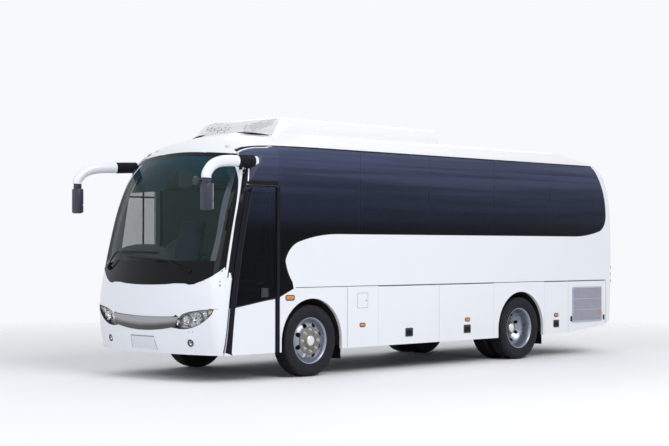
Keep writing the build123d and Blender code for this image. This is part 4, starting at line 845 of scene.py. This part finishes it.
# The bright strip between the lamps, with a dark line along its top
STRIP_TOP = arc_points((-0.655, 0.828), (0.0, 0.802), (0.655, 0.812), 24)
STRIP_FOOT = arc_points((0.6, 0.69), (0.0, 0.632), (-0.6, 0.69), 24)


def strip_crown(_, v):
    return 0.01 * sin(pi * min(1, max(0, (v - 0.632) / 0.19)))


strip = Draft(AHEAD).patch(STRIP_TOP + STRIP_FOOT, 0.003, 0.004, 0.05, strip_crown)
piece("front_chrome_strip", strip, strip_finish())
seams = Draft(AHEAD).ribbon(STRIP_TOP, 0.008, 0.006, 0.004, 0.04)
seams.ribbon(STRIP_FOOT, 0.006, 0.005, 0.004, 0.04)
for sign in SIDES.values():
    seams.ribbon(mirrored(((1.15, 0.915), (1.2, 0.917)), sign), 0.004, 0.001, 0.003, 0.02)
piece("front_panel_seams", seams, SEAM)

FOG = (0.807, 0.49)
FOG_RING = mm((4, 47), (9, 44), (8, 39), (-20, 36), (-20, 44))
FOG_BOWL = mm((-4, 36), (-16, 26), (-26, 8), (-30, 0.1), (-34, 0.1), (-26, 36))
FOG_BULB = mm((-28, 0.1), (-6, 10), (0, 6), (1, 0.1))
FOG_LENS = mm((-1, 37), (4, 30), (7, 15), (8, 0.1), (5, 0.1), (-3, 36))
rims, glow, lens = Draft(), Draft(), Draft()
FOG_PARTS = ((rims, FOG_RING, 40), (glow, FOG_BOWL, 32), (glow, FOG_BULB, 16), (lens, FOG_LENS, 36))
for sign in SIDES.values():
    point, normal = AHEAD(sign * FOG[0], FOG[1])
    where = facing_matrix(point + Vector((0, 0.004, 0)), Vector((0, -1, 0)) * 0.6 + normal)
    for draft, profile, around in FOG_PARTS:
        draft.join(Draft().turned(profile, around=around), where)
piece("fog_lamp_rims", rims, GLOSS_BLACK)
piece("fog_lamp_bowls", glow, LAMP_BOWL)
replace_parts(piece("fog_lamp_lenses", lens, CLEAR), "fog_lamps")

plugs = Draft(AHEAD)
for u, v, size in ((1.187, 1.252, 0.018), (1.192, 1.206, 0.024)):
    plugs.dome(u, v, size * 0.7, size, 0.004, power=2)
for sign in SIDES.values():
    for u, v in ((0.8, 0.63), (0.86, 0.632)):
        plugs.dome(sign * u, v, 0.012, 0.01, 0.002, power=2)
piece("front_plugs", plugs, PLASTIC)

# The place of the plate: a blank panel painted darker grey as the shade of a recess, with painted shadow
# lines along its top and sides
PLATE = ((-0.262, 0.547), (0.205, 0.547), (0.245, 0.384), (-0.262, 0.39))
plate = Draft(AHEAD).patch(PLATE, 0.003, 0.003, 0.03)
piece("plate_place", plate, painted("plate_shade", (0.66, 0.685, 0.74), -1, 0))
# Dark lines along the top and sides: painted shadow of the recess's rim
edge = Draft(AHEAD)
for line, width in (([(PLATE[0][0], 0.551), (PLATE[1][0], 0.551)], 0.014), (PLATE[1:3], 0.006),
                    ([PLATE[0], PLATE[3]], 0.009)):
    edge.ribbon(line, width, 0.004, 0.003, 0.05)
piece("plate_edge", edge, finish_of("plate_edge", (0.3, 0.32, 0.38), 0.5))


def off_front(place, lift):
    point, normal = AHEAD(*place)
    return point + normal * lift


# Wipers: pivot, elbow and the two ends of the blade, across and up
WIPERS = (((-0.94, 1.4), (-0.7, 1.6), (-0.74, 1.625), (0.2, 1.6)),
          ((0.755, 1.375), (0.42, 1.49), (0.46, 1.5), (-0.46, 1.545)))
BLADE_STEPS = 20
for number, (pivot, elbow, tip_a, tip_b) in enumerate(WIPERS):
    wiper = Draft(AHEAD).dome(*pivot, 0.06, 0.06, 0.04, power=2)
    middle = between(tip_a, tip_b, 0.45)
    arm = [off_front(pivot, 0.038), off_front(between(pivot, elbow, 0.5), 0.052), off_front(elbow, 0.048),
           off_front(between(elbow, middle, 0.5), 0.046), off_front(middle, 0.042)]
    wiper.tube(smooth_path(arm, 6), lambda s: (0.016 - 0.008 * s, 0.008 - 0.002 * s), 10, (0, 0, 1))
    places = [between(tip_a, tip_b, k / BLADE_STEPS) for k in range(BLADE_STEPS + 1)]
    wiper.tube([off_front(p, 0.026) for p in places], lambda s: (0.012, 0.006), 8, (0, 0, 1))
    wiper.tube([off_front((u, v - 0.004), 0.013) for u, v in places], lambda s: (0.003, 0.01), 8, (0, 0, 1))
    piece(f"wiper_{number + 1}", wiper, GLOSS_BLACK)

# Marker lamps on the brow
for k, u in enumerate((0.711, -0.711)):
    piece(f"brow_lamp_{k + 1}", Draft(ABOVE).dome(u, -1.0, 0.085, 0.055, 0.014, power=2.5),
          finish_of(f"brow_lens_{k + 1}", (0.62, 0.6, 0.55), 0.2, Coat_Weight=0.5))

# Mirrors: collar, ribbed bellows, arm, head and glasses
MIRROR = (1.315, -1.864, 2.288)
ARM_LINE = ((-0.935, 2.755), (-0.99, 2.755), (-1.15, 2.75), (-1.3, 2.743), (-1.48, 2.736), (-1.64, 2.716),
            (-1.765, 2.668), (-1.84, 2.6), (-1.868, 2.552), (-1.872, 2.512))
RIBS = 24


def rib_size(share):
    """Half widths of the bellows, larger at every second rib."""
    wide = round(share * RIBS) % 2
    return 0.052 + 0.005 * wide, 0.07 + 0.006 * wide


for side, sign in SIDES.items():
    path = smooth_path([(sign * (1.175 + 0.1478 * (-0.925 - y)), AXLE_1 + y, z) for y, z in ARM_LINE], 6)
    piece(f"mirror_collar_{side}", Draft().tube(path[:7], lambda s: (0.05, 0.066 - 0.004 * s), 28), BODY)
    ribs = []
    for a, b in zip(path[6:18], path[7:19]):
        ribs += [a, a.lerp(b, 0.5)]
    ribs.append(path[18])
    bellows = Draft().tube(ribs, rib_size, 28)
    piece(f"mirror_bellows_{side}", bellows, RUBBER)
    arm = Draft().tube(path[18:], lambda s: (0.054 + 0.004 * s, 0.07 - 0.006 * s), 28)
    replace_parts(piece(f"mirror_arm_{side}", arm, BODY), f"mirror_{side}")
    middle = Vector((sign * MIRROR[0], AXLE_1 + MIRROR[1], MIRROR[2]))
    head, glass = Draft(), Draft()
    for draft, low, high, bevel in ((head, (-0.078, -0.048, -0.168), (0.078, 0.042, 0.168), 0.026),
                                    (head, (-0.042, -0.044, 0.16), (0.042, 0.04, 0.232), 0.014),
                                    (glass, (-0.068, 0.041, -0.045), (0.068, 0.048, 0.155), 0.003),
                                    (glass, (-0.068, 0.041, -0.155), (0.068, 0.048, -0.057), 0.003)):
        draft.box(middle + Vector(low), middle + Vector(high), bevel)
    piece(f"mirror_head_{side}", head, MIRROR_GREY)
    piece(f"mirror_glass_{side}", glass, MIRROR_GLASS)

CUP = Vector((1.172, AXLE_1 - 1.915, 2.478))
CUP_PROFILE = mm((-20, 0.1), (-18, 42), (0, 58), (8, 60), (10, 56), (6, 0.1))
where = Matrix.Translation(CUP) @ Matrix.Rotation(pi / 2, 4, "Z")
cup = Draft().join(Draft().turned(CUP_PROFILE, around=36), where)
stalk = [CUP, CUP + Vector((0.06, 0.02, 0.012)), CUP + Vector((0.125, 0.038, 0.02))]
cup.tube(stalk, lambda s: (0.01, 0.01), 10, (0, 0, 1))
piece("round_mirror_left", cup, MIRROR_GREY)


# Wheels and tyres
TREAD_GROOVES = (-0.058, -0.02, 0.02, 0.058)
TREAD_STEPS = 192


def tyre_profile():
    """Outer contour with tread grooves and sidewall rings, then back through the bead."""
    side = mm((97.5, 287), (104, 293), (108, 304), (104.5, 312), (108, 318), (117, 338), (118, 342),
              (123.5, 360), (126.2, 378), (127.2, 384), (126.2, 390), (125.5, 404), (126.2, 408),
              (123.2, 424), (121.5, 432), (116, 446), (110, 455), (104, 460))
    crown = mm((98, 463), (88, 464.5))
    for groove in reversed(TREAD_GROOVES):
        crown += [(groove + edge, r) for edge, r in mm((6.5, 465), (5, 453.5), (-5, 453.5), (-6.5, 465))]
    crown += mm((-88, 464.5), (-98, 463))
    return side + crown + mirrored(side[::-1], -1)


def tread(d, r, angle):
    """Cuts the shoulders and the ribs across, a little out of step."""
    step = int(round(angle / (2 * pi) * TREAD_STEPS))
    if r > 0.4625 and abs(d) > 0.066 and step % 4 == 0:
        return d, r - 0.009
    if r > 0.4645 and abs(d) < 0.066 and (step + (2 if d > 0 else 0)) % 4 == 0:
        return d, r - 0.004
    if 0.45 < r < 0.4625 and abs(d) > 0.1 and step % 4 == 0:
        return d * 0.985, r - 0.003
    return d, r


RIM_LIP = mm((105, 303), (106.8, 301), (106.8, 296), (104, 290.5), (99, 286))
BEAD_SEAT = mm((-105, 268), (-105, 303), (-98, 303), (-98, 286), (98, 286), (98, 303))
DISCS = {
    "front": RIM_LIP + mm((90, 277.5), (78, 273.5), (52, 268), (45.5, 263), (47, 256), (56, 245), (69, 233),
                          (79, 220), (86, 205), (90.5, 188), (92, 170), (92, 150), (80, 150), (79, 170),
                          (76, 190), (69, 208), (56, 223), (30, 245), (25, 256)),
    "rear": RIM_LIP + mm((85, 276), (60, 270), (20, 266), (-30, 263), (-46, 256), (-62, 244), (-86, 224),
                         (-110, 196), (-128, 176), (-140, 164), (-148, 158), (-151, 150), (-163, 150),
                         (-162, 162), (-146, 176), (-120, 205), (-96, 230), (-64, 260)),
}
INNER_DISC = mm((105, 303), (105, 272), (60, 266), (100, 232), (145, 175), (165, 160), (165, 98), (151, 98),
                (151, 152), (133, 166), (88, 224), (45, 258), (-105, 266))
HUBS = {
    "front": mm((80, 150), (93.5, 150), (93.5, 183), (98.5, 184), (100, 178), (100, 100), (104, 94),
                (115, 90), (119, 84), (119, 56), (118, 52), (95, 52), (70, 140)),
    "rear": mm((-165, 150), (-151, 152), (-146, 158), (-143, 154), (-143, 102), (-138, 96), (-40, 90),
               (-30, 84), (-28, 60), (-28, 52), (-60, 52), (-165, 90)),
}
# Hand holes: where the drill starts and how deep it goes, its circle and its radius
HAND_HOLES = {"front": (0.02, 0.09, 0.207, 0.0325), "rear": (-0.19, 0.15, 0.202, 0.0255)}
NUT_FACE = {"front": 0.0985, "rear": -0.1445}
CAP_BASE = {"front": 0.117, "rear": -0.03}
CAP = mm((0, 64), (3, 65), (7, 62), (12, 48), (14.5, 24), (15, 0.1), (-20, 0.1), (-20, 50))
# A nut's washer, chamfered hexagon and stud: sides around and profile
NUT = ((20, mm((0, 0.1), (0, 23.5), (4, 23.5), (4, 0.1))),
       (6, mm((3, 0.1), (3, 18.5), (21, 18.5), (26, 14), (26, 0.1))),
       (14, mm((20, 0.1), (20, 9.5), (33, 9.5), (36, 7), (36, 0.1))))
STUDS = 8
NUT_CIRCLE = 0.14
TWIN_GAP = 0.33


def drill(obj, centre, sign, start, depth, circle_radius, radius):
    """Cuts the hand holes through a wheel disc for good."""
    bm = bmesh.new()
    for k in range(STUDS):
        a = 2 * pi * (k + 0.5) / STUDS
        middle = (centre[0] + sign * (start + depth / 2),
                  centre[1] + circle_radius * cos(a), centre[2] + circle_radius * sin(a))
        place = Matrix.Translation(middle) @ Matrix.Rotation(pi / 2, 4, "Y")
        bmesh.ops.create_cone(bm, cap_ends=True, segments=28, radius1=radius, radius2=radius, depth=depth,
                              matrix=place)
    cutter = linked("holes", mesh_of("holes", bm))
    tool = obj.modifiers.new("cut", "BOOLEAN")
    tool.operation = "DIFFERENCE"
    tool.solver = "EXACT"
    tool.object = cutter
    made = bpy.data.meshes.new_from_object(obj.evaluated_get(bpy.context.evaluated_depsgraph_get()))
    obj.modifiers.remove(tool)
    obj.data = made
    smoothed(made, 32)
    bpy.data.objects.remove(cutter)


for side, sign in SIDES.items():
    for end, plural, station in (("front", "", AXLE_1), ("rear", "s", AXLE_2)):
        body = f"{end}_wheel{plural}_{side}"
        centre = (sign * WHEEL_X, station, HUB_Z)
        twin = (sign * (WHEEL_X - TWIN_GAP), station, HUB_Z)
        tyre = Draft().turned(tyre_profile(), centre, sign, TREAD_STEPS, tread)
        if end == "rear":
            tyre.turned(tyre_profile(), twin, sign, TREAD_STEPS, tread)
        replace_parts(piece(f"{end}_tread_{side}", tyre, TYRE, body, 28), f"{end}_tyre{plural}_{side}")
        disc = Draft().turned(DISCS[end] + BEAD_SEAT, centre, sign, 96)
        rim = piece(f"{end}_wheel_disc_{side}", disc, SILVER, body)
        drill(rim, centre, sign, *HAND_HOLES[end])
        if end == "rear":
            disc = Draft().turned(INNER_DISC + BEAD_SEAT[:-1], twin, sign, 64)
            piece(f"rear_inner_wheel_{side}", disc, SILVER, body)
        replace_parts(rim, f"{end}_rim{plural}_{side}")
        piece(f"{end}_hub_{side}", Draft().turned(HUBS[end], centre, sign, 64), HUB_GREY, body)
        nuts = Draft()
        for k in range(STUDS):
            a = 2 * pi * k / STUDS
            spot = (centre[0], centre[1] + NUT_CIRCLE * cos(a), centre[2] + NUT_CIRCLE * sin(a))
            for around, profile in NUT:
                nuts.turned([(NUT_FACE[end] + d, r) for d, r in profile], spot, sign, around)
        piece(f"{end}_nuts_{side}", nuts, NUT_STEEL, body)
        cap = Draft().turned([(CAP_BASE[end] + d, r) for d, r in CAP], centre, sign, 48)
        piece(f"{end}_hub_cap_{side}", cap, CHROME, body)

# Roof unit: a shell whose nose thins out, louvres at its front, fan grilles on top and seams
NOSE = (-0.46, -0.16)
UNIT_FOOT = 3.085


def unit_height(station, across, z):
    """Heights ahead of the nose's end come down, most at the far and near front corners."""
    share = min(1.0, max(0.0, (station - NOSE[0] - 0.16 * abs(across)) / (NOSE[1] - NOSE[0])))
    thin = 0.15 + 0.85 * sin(share * pi / 2)
    return UNIT_FOOT + (z - UNIT_FOOT) * thin if z > UNIT_FOOT else z


shell = Draft()
shell.bm.from_mesh(NODES["roof_unit"].data)
slices(shell.bm, 1, [AXLE_1 + NOSE[0] + 0.035 * k for k in range(14)], 1e-5)
for vert in shell.bm.verts:
    vert.co.z = unit_height(vert.co.y - AXLE_1, vert.co.x, vert.co.z)
unit = piece("roof_unit_shell", shell, ROOF, sharp=75)
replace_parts(unit, "roof_unit")
ON_UNIT = caster(from_above, (0, 0, -1), skin(unit.data))
louvres = Draft(ON_UNIT)
for sign in SIDES.values():
    for k in range(11):
        u, v = sign * (0.14 + 0.05 * k), -0.36 + 0.016 * k
        louvres.ribbon([(u, v), (u + sign * 0.028, v + 0.19)], 0.018, 0.0015, 0.003, 0.04)
piece("unit_louvres", louvres, finish_of("louvre_shade", (0.38, 0.38, 0.4), 0.6))
# A gloss black tube, thickest in its middle, under each front lip of the unit: painted shadow where the unit
# overhangs the roof
LIP = ((0.33, -0.492), (0.48, -0.462), (0.64, -0.42), (0.8, -0.372))
lip_shadow = Draft()
for sign in SIDES.values():
    lip = smooth_path([ABOVE(sign * x, v)[0] + Vector((0, 0, 0.014)) for x, v in LIP], 4)
    lip_shadow.tube(lip, lambda s: (0.004 + 0.01 * sin(pi * s), 0.004 + 0.01 * sin(pi * s)), 10)
piece("unit_lip_gap", lip_shadow, GLOSS_BLACK)

# A row of small dark dots down each rear pillar
dots = Draft()
for on in ON_SIDE.values():
    dots.hit = on
    for k in range(13):
        dots.dome(6.5 + 0.0145 * k, 2.835 - 0.026 * k, 0.011, 0.009, 0.0015, rings=2, around=10, power=2)
piece("pillar_dots", dots, PLASTIC)
seams = Draft(ON_UNIT)
for v in (0.45, 1.3, 2.72):
    seams.ribbon([(-0.83 + 1.66 * k / 12, v) for k in range(13)], 0.006, 0.0012, 0.003, 0.1)
for sign in SIDES.values():
    seams.ribbon([(sign * 0.857, 0.0), (sign * 0.857, 2.92)], 0.012, 0.001, 0.003, 0.3)
piece("unit_seams", seams, SEAM)
FANS = (0.88, 1.7, 2.34)
guards, shade = Draft(ON_UNIT), Draft(ON_UNIT)
for v in FANS:
    for sign in SIDES.values():
        u = sign * 0.36
        shade.patch(rounded(u, v, 0.48, 0.48, 0.2399, 10), 0.0003, 0.003, 0.12)
        for r in (0.235, 0.19, 0.145, 0.1, 0.055):
            guards.ribbon(rounded(u, v, 2 * r, 2 * r, r * 0.9999, 7), 0.008, 0.001, 0.002, 0.06, True)
        for k in range(8):
            c, s = cos(pi * k / 4), sin(pi * k / 4)
            spoke = [(u + reach * c, v + reach * s) for reach in (0.045, 0.24)]
            guards.ribbon(spoke, 0.01, 0.0013, 0.002, 0.08)
piece("unit_fan_shade", shade, LINER)
piece("unit_fan_guards", guards, PLASTIC)


# Rear: lamps, lid louvres, plate place, reflectors, bumper line
LAMP_RING = mm((-12, 58), (8, 58), (11, 54), (10, 49), (-12, 49))
LAMP_LENS = mm((-10, 49), (7, 48.5), (12, 40), (10, 37), (14, 30), (12, 26), (16, 16), (17, 0.1), (-10, 0.1))
rings, lenses = Draft(), Draft()
for sign in SIDES.values():
    for height in (1.142, 1.252, 1.362):
        point, normal = BEHIND(sign * 1.13, height)
        where = facing_matrix(point, Vector((0, 1, 0)) + normal * 0.4)
        rings.join(Draft().turned(LAMP_RING, around=40), where)
        lenses.join(Draft().turned(LAMP_LENS, around=40), where)
piece("tail_lamp_rings", rings, PLASTIC)
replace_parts(piece("tail_lamp_lenses", lenses, RED), "tail_lamps")
louvres = Draft(BEHIND)
for k in range(9):
    for sign in SIDES.values():
        v = 0.735 + 0.04 * k
        louvres.ribbon([(sign * 0.16, v), (sign * 0.66, v)], 0.018, 0.007, 0.002, 0.1)
piece("engine_lid_louvres", louvres, PLASTIC, "engine_lid")
piece("rear_plate_blank", Draft(BEHIND).patch(rounded(0, 1.215, 0.56, 0.16, 0.01), 0.004, 0.003, 0.1),
      finish_of("blank_plate", (0.66, 0.66, 0.64), 0.4), "engine_lid")
handle = Draft(BEHIND).ribbon(rounded(0, 1.215, 0.6, 0.2, 0.016), 0.012, 0.01, 0.002, 0.08, True)
piece("engine_lid_handle", handle.dome(0, 1.000, 0.14, 0.05, 0.02), PLASTIC, "engine_lid")
reflectors = Draft(BEHIND)
for sign in SIDES.values():
    reflectors.patch(rounded(sign * 0.98, 0.56, 0.18, 0.045, 0.012), 0.006, 0.003, 0.05)
reflectors.patch(rounded(0, 2.865, 0.42, 0.035, 0.01), 0.01, 0.003, 0.05)
piece("rear_reflectors", reflectors, RED)
bumper = [(-1.18 + 2.36 * k / 24, 0.605) for k in range(25)]
piece("rear_seams", Draft(BEHIND).ribbon(bumper, 0.006, 0.001, 0.003, 0.1), SEAM)
PIPE = ((6.3, 0.47), (6.62, 0.46), (6.83, 0.445))
pipe = smooth_path([(-0.62, AXLE_1 + station, z) for station, z in PIPE], 6)
silencer = [Vector((-0.62, AXLE_1 + station, 0.5)) for station in (5.65, 6.34)]
exhaust = Draft().tube(pipe, lambda s: (0.048, 0.048), 24).tube(silencer, lambda s: (0.13, 0.1), 24)
piece("exhaust", exhaust, NUT_STEEL)

# Cabin: padded seats, racks, instrument hood
FLOOR = 1.12
SEAT_PITCH = 0.76
FIRST_ROW = 0.03
SEAT_ROWS = 8
PAD_POWER = 5.0
PAD_AROUND = 24
PAD_RINGS = 16


def squared(value):
    return abs(value) ** (2 / PAD_POWER) * (1 if value >= 0 else -1)


def pad(draft, size, place, seams=()):
    """A crowned cushion: a superellipsoid whose sides pull in, with sewn channels at some heights."""
    rows = []
    for i in range(PAD_RINGS + 1):
        lat = -pi / 2 + pi * i / PAD_RINGS
        pole = i in (0, PAD_RINGS)
        row = []
        for j in range(1 if pole else PAD_AROUND):
            lon = 2 * pi * j / PAD_AROUND
            x, y = (0 if pole else squared(cos(lat)) * squared(c) for c in (cos(lon), sin(lon)))
            z = squared(sin(lat))
            puff = 1 - 0.05 * (abs(x * y) + abs(y * z))
            for seam in seams:
                if abs(z - seam) < 0.09:
                    puff *= 0.965
            row.append(place @ Vector((x * size[0] / 2 * puff, y * size[1] / 2 * puff, z * size[2] / 2)))
        rows.append(draft.loop(row))
    draft.bridge(rows)


def seat(pads, frames, x, station, floor, width=0.43):
    """One seat: cushion, back with a head pad, and the shell behind."""

    def at(back, up, tilt):
        where = Matrix.Translation((x, AXLE_1 + station + back, floor + up))
        return where @ Matrix.Rotation(radians(tilt), 4, "X")

    pad(pads, (width, 0.46, 0.13), at(0.245, 0.415, -3))
    pad(pads, (width, 0.115, 0.62), at(0.515, 0.745, -12), (-0.45, 0.1, 0.55))
    pad(pads, (width * 0.86, 0.105, 0.17), at(0.6, 1.095, -12))
    half = width / 2 - 0.02
    frames.join(Draft().box((-half, -0.012, -0.36), (half, 0.012, 0.4), 0.01), at(0.592, 0.76, -12))


def cushions_for(node, name, pads):
    cushions = piece(name, pads, CLOTH, sharp=60)
    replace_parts(cushions, node)


pads, frames = Draft(), Draft()
for row in range(SEAT_ROWS):
    station = FIRST_ROW + SEAT_PITCH * row
    for sign in SIDES.values():
        for k in range(2):
            seat(pads, frames, sign * (0.505 + 0.45 * k), station, FLOOR)
        y = AXLE_1 + station
        for x in (sign * 0.365, sign * 1.095):
            frames.box((x - 0.02, y + 0.18, FLOOR + 0.001), (x + 0.02, y + 0.34, FLOOR + 0.35), 0.006)
        near, far = sorted((sign * 0.36, sign * 1.1))
        frames.box((near, y + 0.14, FLOOR + 0.33), (far, y + 0.38, FLOOR + 0.36), 0.006)
cushions_for("passenger_seats", "passenger_cushions", pads)
piece("passenger_seat_frames", frames, PLASTIC)

pads, frames = Draft(), Draft()
DRIVER_X = -0.64
PLATFORM = 0.85
seat(pads, frames, DRIVER_X, -1.06, PLATFORM, 0.47)
frames.box((DRIVER_X - 0.17, AXLE_1 - 0.97, PLATFORM + 0.001),
           (DRIVER_X + 0.17, AXLE_1 - 0.72, PLATFORM + 0.35), 0.012)
cushions_for("driver_seat", "driver_cushions", pads)
piece("driver_seat_base", frames, PLASTIC)

RACK = [(0.8, 2.72), (0.78, 2.56), (0.84, 2.52), (1.12, 2.5), (1.16, 2.55), (1.14, 2.74), (1.05, 2.8)]
RACK_ENDS = (-0.3, 6.1)
racks = Draft()
for sign in SIDES.values():
    loops = []
    for station in (-0.3, 0.0, 1.5, 3.0, 4.5, 6.0, 6.1):
        share = sign * (0.97 if station in RACK_ENDS else 1)
        loops.append(racks.loop([(x * share, AXLE_1 + station, z) for x, z in RACK]))
    racks.bridge(loops)
    racks.bm.faces.new(loops[0])
    racks.bm.faces.new(loops[-1])
long_edges = [e for e in racks.bm.edges if abs((e.verts[0].co - e.verts[1].co).y) > 0.2]
bmesh.ops.bevel(racks.bm, geom=long_edges, offset=0.02, segments=3, affect="EDGES")
piece("luggage_racks", racks, LINING)

# Instrument hood over the dash, before the steering wheel: station, height and half width
HOOD = ((-1.62, 1.5, 0.5), (-1.58, 1.63, 0.54), (-1.5, 1.7, 0.56), (-1.42, 1.715, 0.56),
        (-1.34, 1.69, 0.54), (-1.325, 1.64, 0.52), (-1.34, 1.56, 0.5), (-1.36, 1.47, 0.5))
hood = Draft()
loops = []
for station, z, half in HOOD:
    points = []
    for t in (-1 + 2 * k / 24 for k in range(25)):
        points.append((DRIVER_X + 0.2 + half * t * 1.15, AXLE_1 + station, z - (z - 1.44) * abs(t) ** 3.5))
    loops.append(hood.loop(points))
piece("instrument_hood", hood.bridge(loops, closed=False), DASH)

# Folding shade behind the top of the screen, on the driver's side
film = Draft()
loops = []
for k in range(25):
    x = -0.98 + 0.86 * k / 24
    fold = Vector((0, 0.075 + 0.012 * (k % 2), 0))
    loops.append(film.loop([AHEAD(x, z)[0] + fold for z in (2.4, 2.5, 2.6, 2.7, 2.78)]))
film.bridge(loops, closed=False)
bmesh.ops.solidify(film.bm, geom=film.bm.faces[:], thickness=0.004)
piece("sun_shade", film, finish_of("shade_film", (0.05, 0.16, 0.2), 0.5))


# Stage: floor, light, camera
PALE = (0.86, 0.87, 0.88)
FLOOR_SIZE = 30
FLOOR_FADE = (5.0, 14.0)
AMBIENT = 0.55


def stage():
    bm = bmesh.new()
    bmesh.ops.create_grid(bm, x_segments=4, y_segments=4, size=FLOOR_SIZE)
    floor = linked("studio_floor", mesh_of("studio_floor", bm))
    n = Material("studio_floor")
    far = n.add("ShaderNodeVectorMath", {0: n.place}, "Value", operation="LENGTH")
    n.set(Base_Color=n.mix(n.noise(0.5), rgba(PALE, 0.99), rgba(PALE, 1.0)), Roughness=0.7,
          Alpha=n.remap(far, *FLOOR_FADE, 1.0, 0.0))
    floor.data.materials.append(n.mat)
    world = bpy.data.worlds.new("studio_world")
    bpy.context.scene.world = world
    n = Tree(world)
    rays = n.add("ShaderNodeLightPath", {}).node.outputs
    seen = n.maths("MAXIMUM", rays["Is Glossy Ray"], rays["Is Transmission Ray"])
    seen = n.maths("MAXIMUM", rays["Is Camera Ray"], seen)
    back = n.tree.nodes["Background"].inputs
    n.put(back["Strength"], n.remap(seen, 0, 1, AMBIENT, 1.0))
    n.put(back["Color"], (0.93, 0.95, 0.98, 1))


def lamp_at(name, place, target, size, power, colour=(1, 1, 1)):
    data = bpy.data.lights.new(name, "AREA")
    data.shape = "RECTANGLE"
    data.size, data.size_y = size
    data.energy = power
    data.color = colour
    light = linked(name, data)
    light.location = place
    light.rotation_euler = (Vector(target) - Vector(place)).to_track_quat("-Z", "Y").to_euler()


stage()
lamp_at("key", (14, -3, 13), (0, 0, 1.2), (10, 10), 1750, (1.0, 0.995, 0.99))
lamp_at("fill", (2, -16, 9), (0, -2, 1.5), (10, 8), 720, (0.92, 0.94, 1.0))
lamp_at("back", (-10, 12, 10), (0, 0, 1.5), (10, 8), 400)

CAMERA_PLACE = (15.17, AXLE_1 - 13.696, 1.677)
YAW, PITCH, ROLL = radians(134.65), radians(0.92), radians(0.07)
FOCAL_PIXELS = 1506.5
PHOTO_WIDTH = 669
SENSOR = 36.0
camera = bpy.data.cameras.new("camera")
camera.sensor_width = SENSOR
camera.lens = FOCAL_PIXELS / PHOTO_WIDTH * SENSOR
camera.clip_end = 300
eye = linked("camera", camera)
ahead = Vector((cos(YAW) * cos(PITCH), sin(YAW) * cos(PITCH), sin(PITCH)))
eye.location = CAMERA_PLACE
eye.rotation_euler = (ahead.to_track_quat("-Z", "Y").to_matrix() @ Matrix.Rotation(ROLL, 3, "Z")).to_euler()
bpy.context.scene.camera = eye
bpy.context.scene.view_settings.view_transform = "Standard"
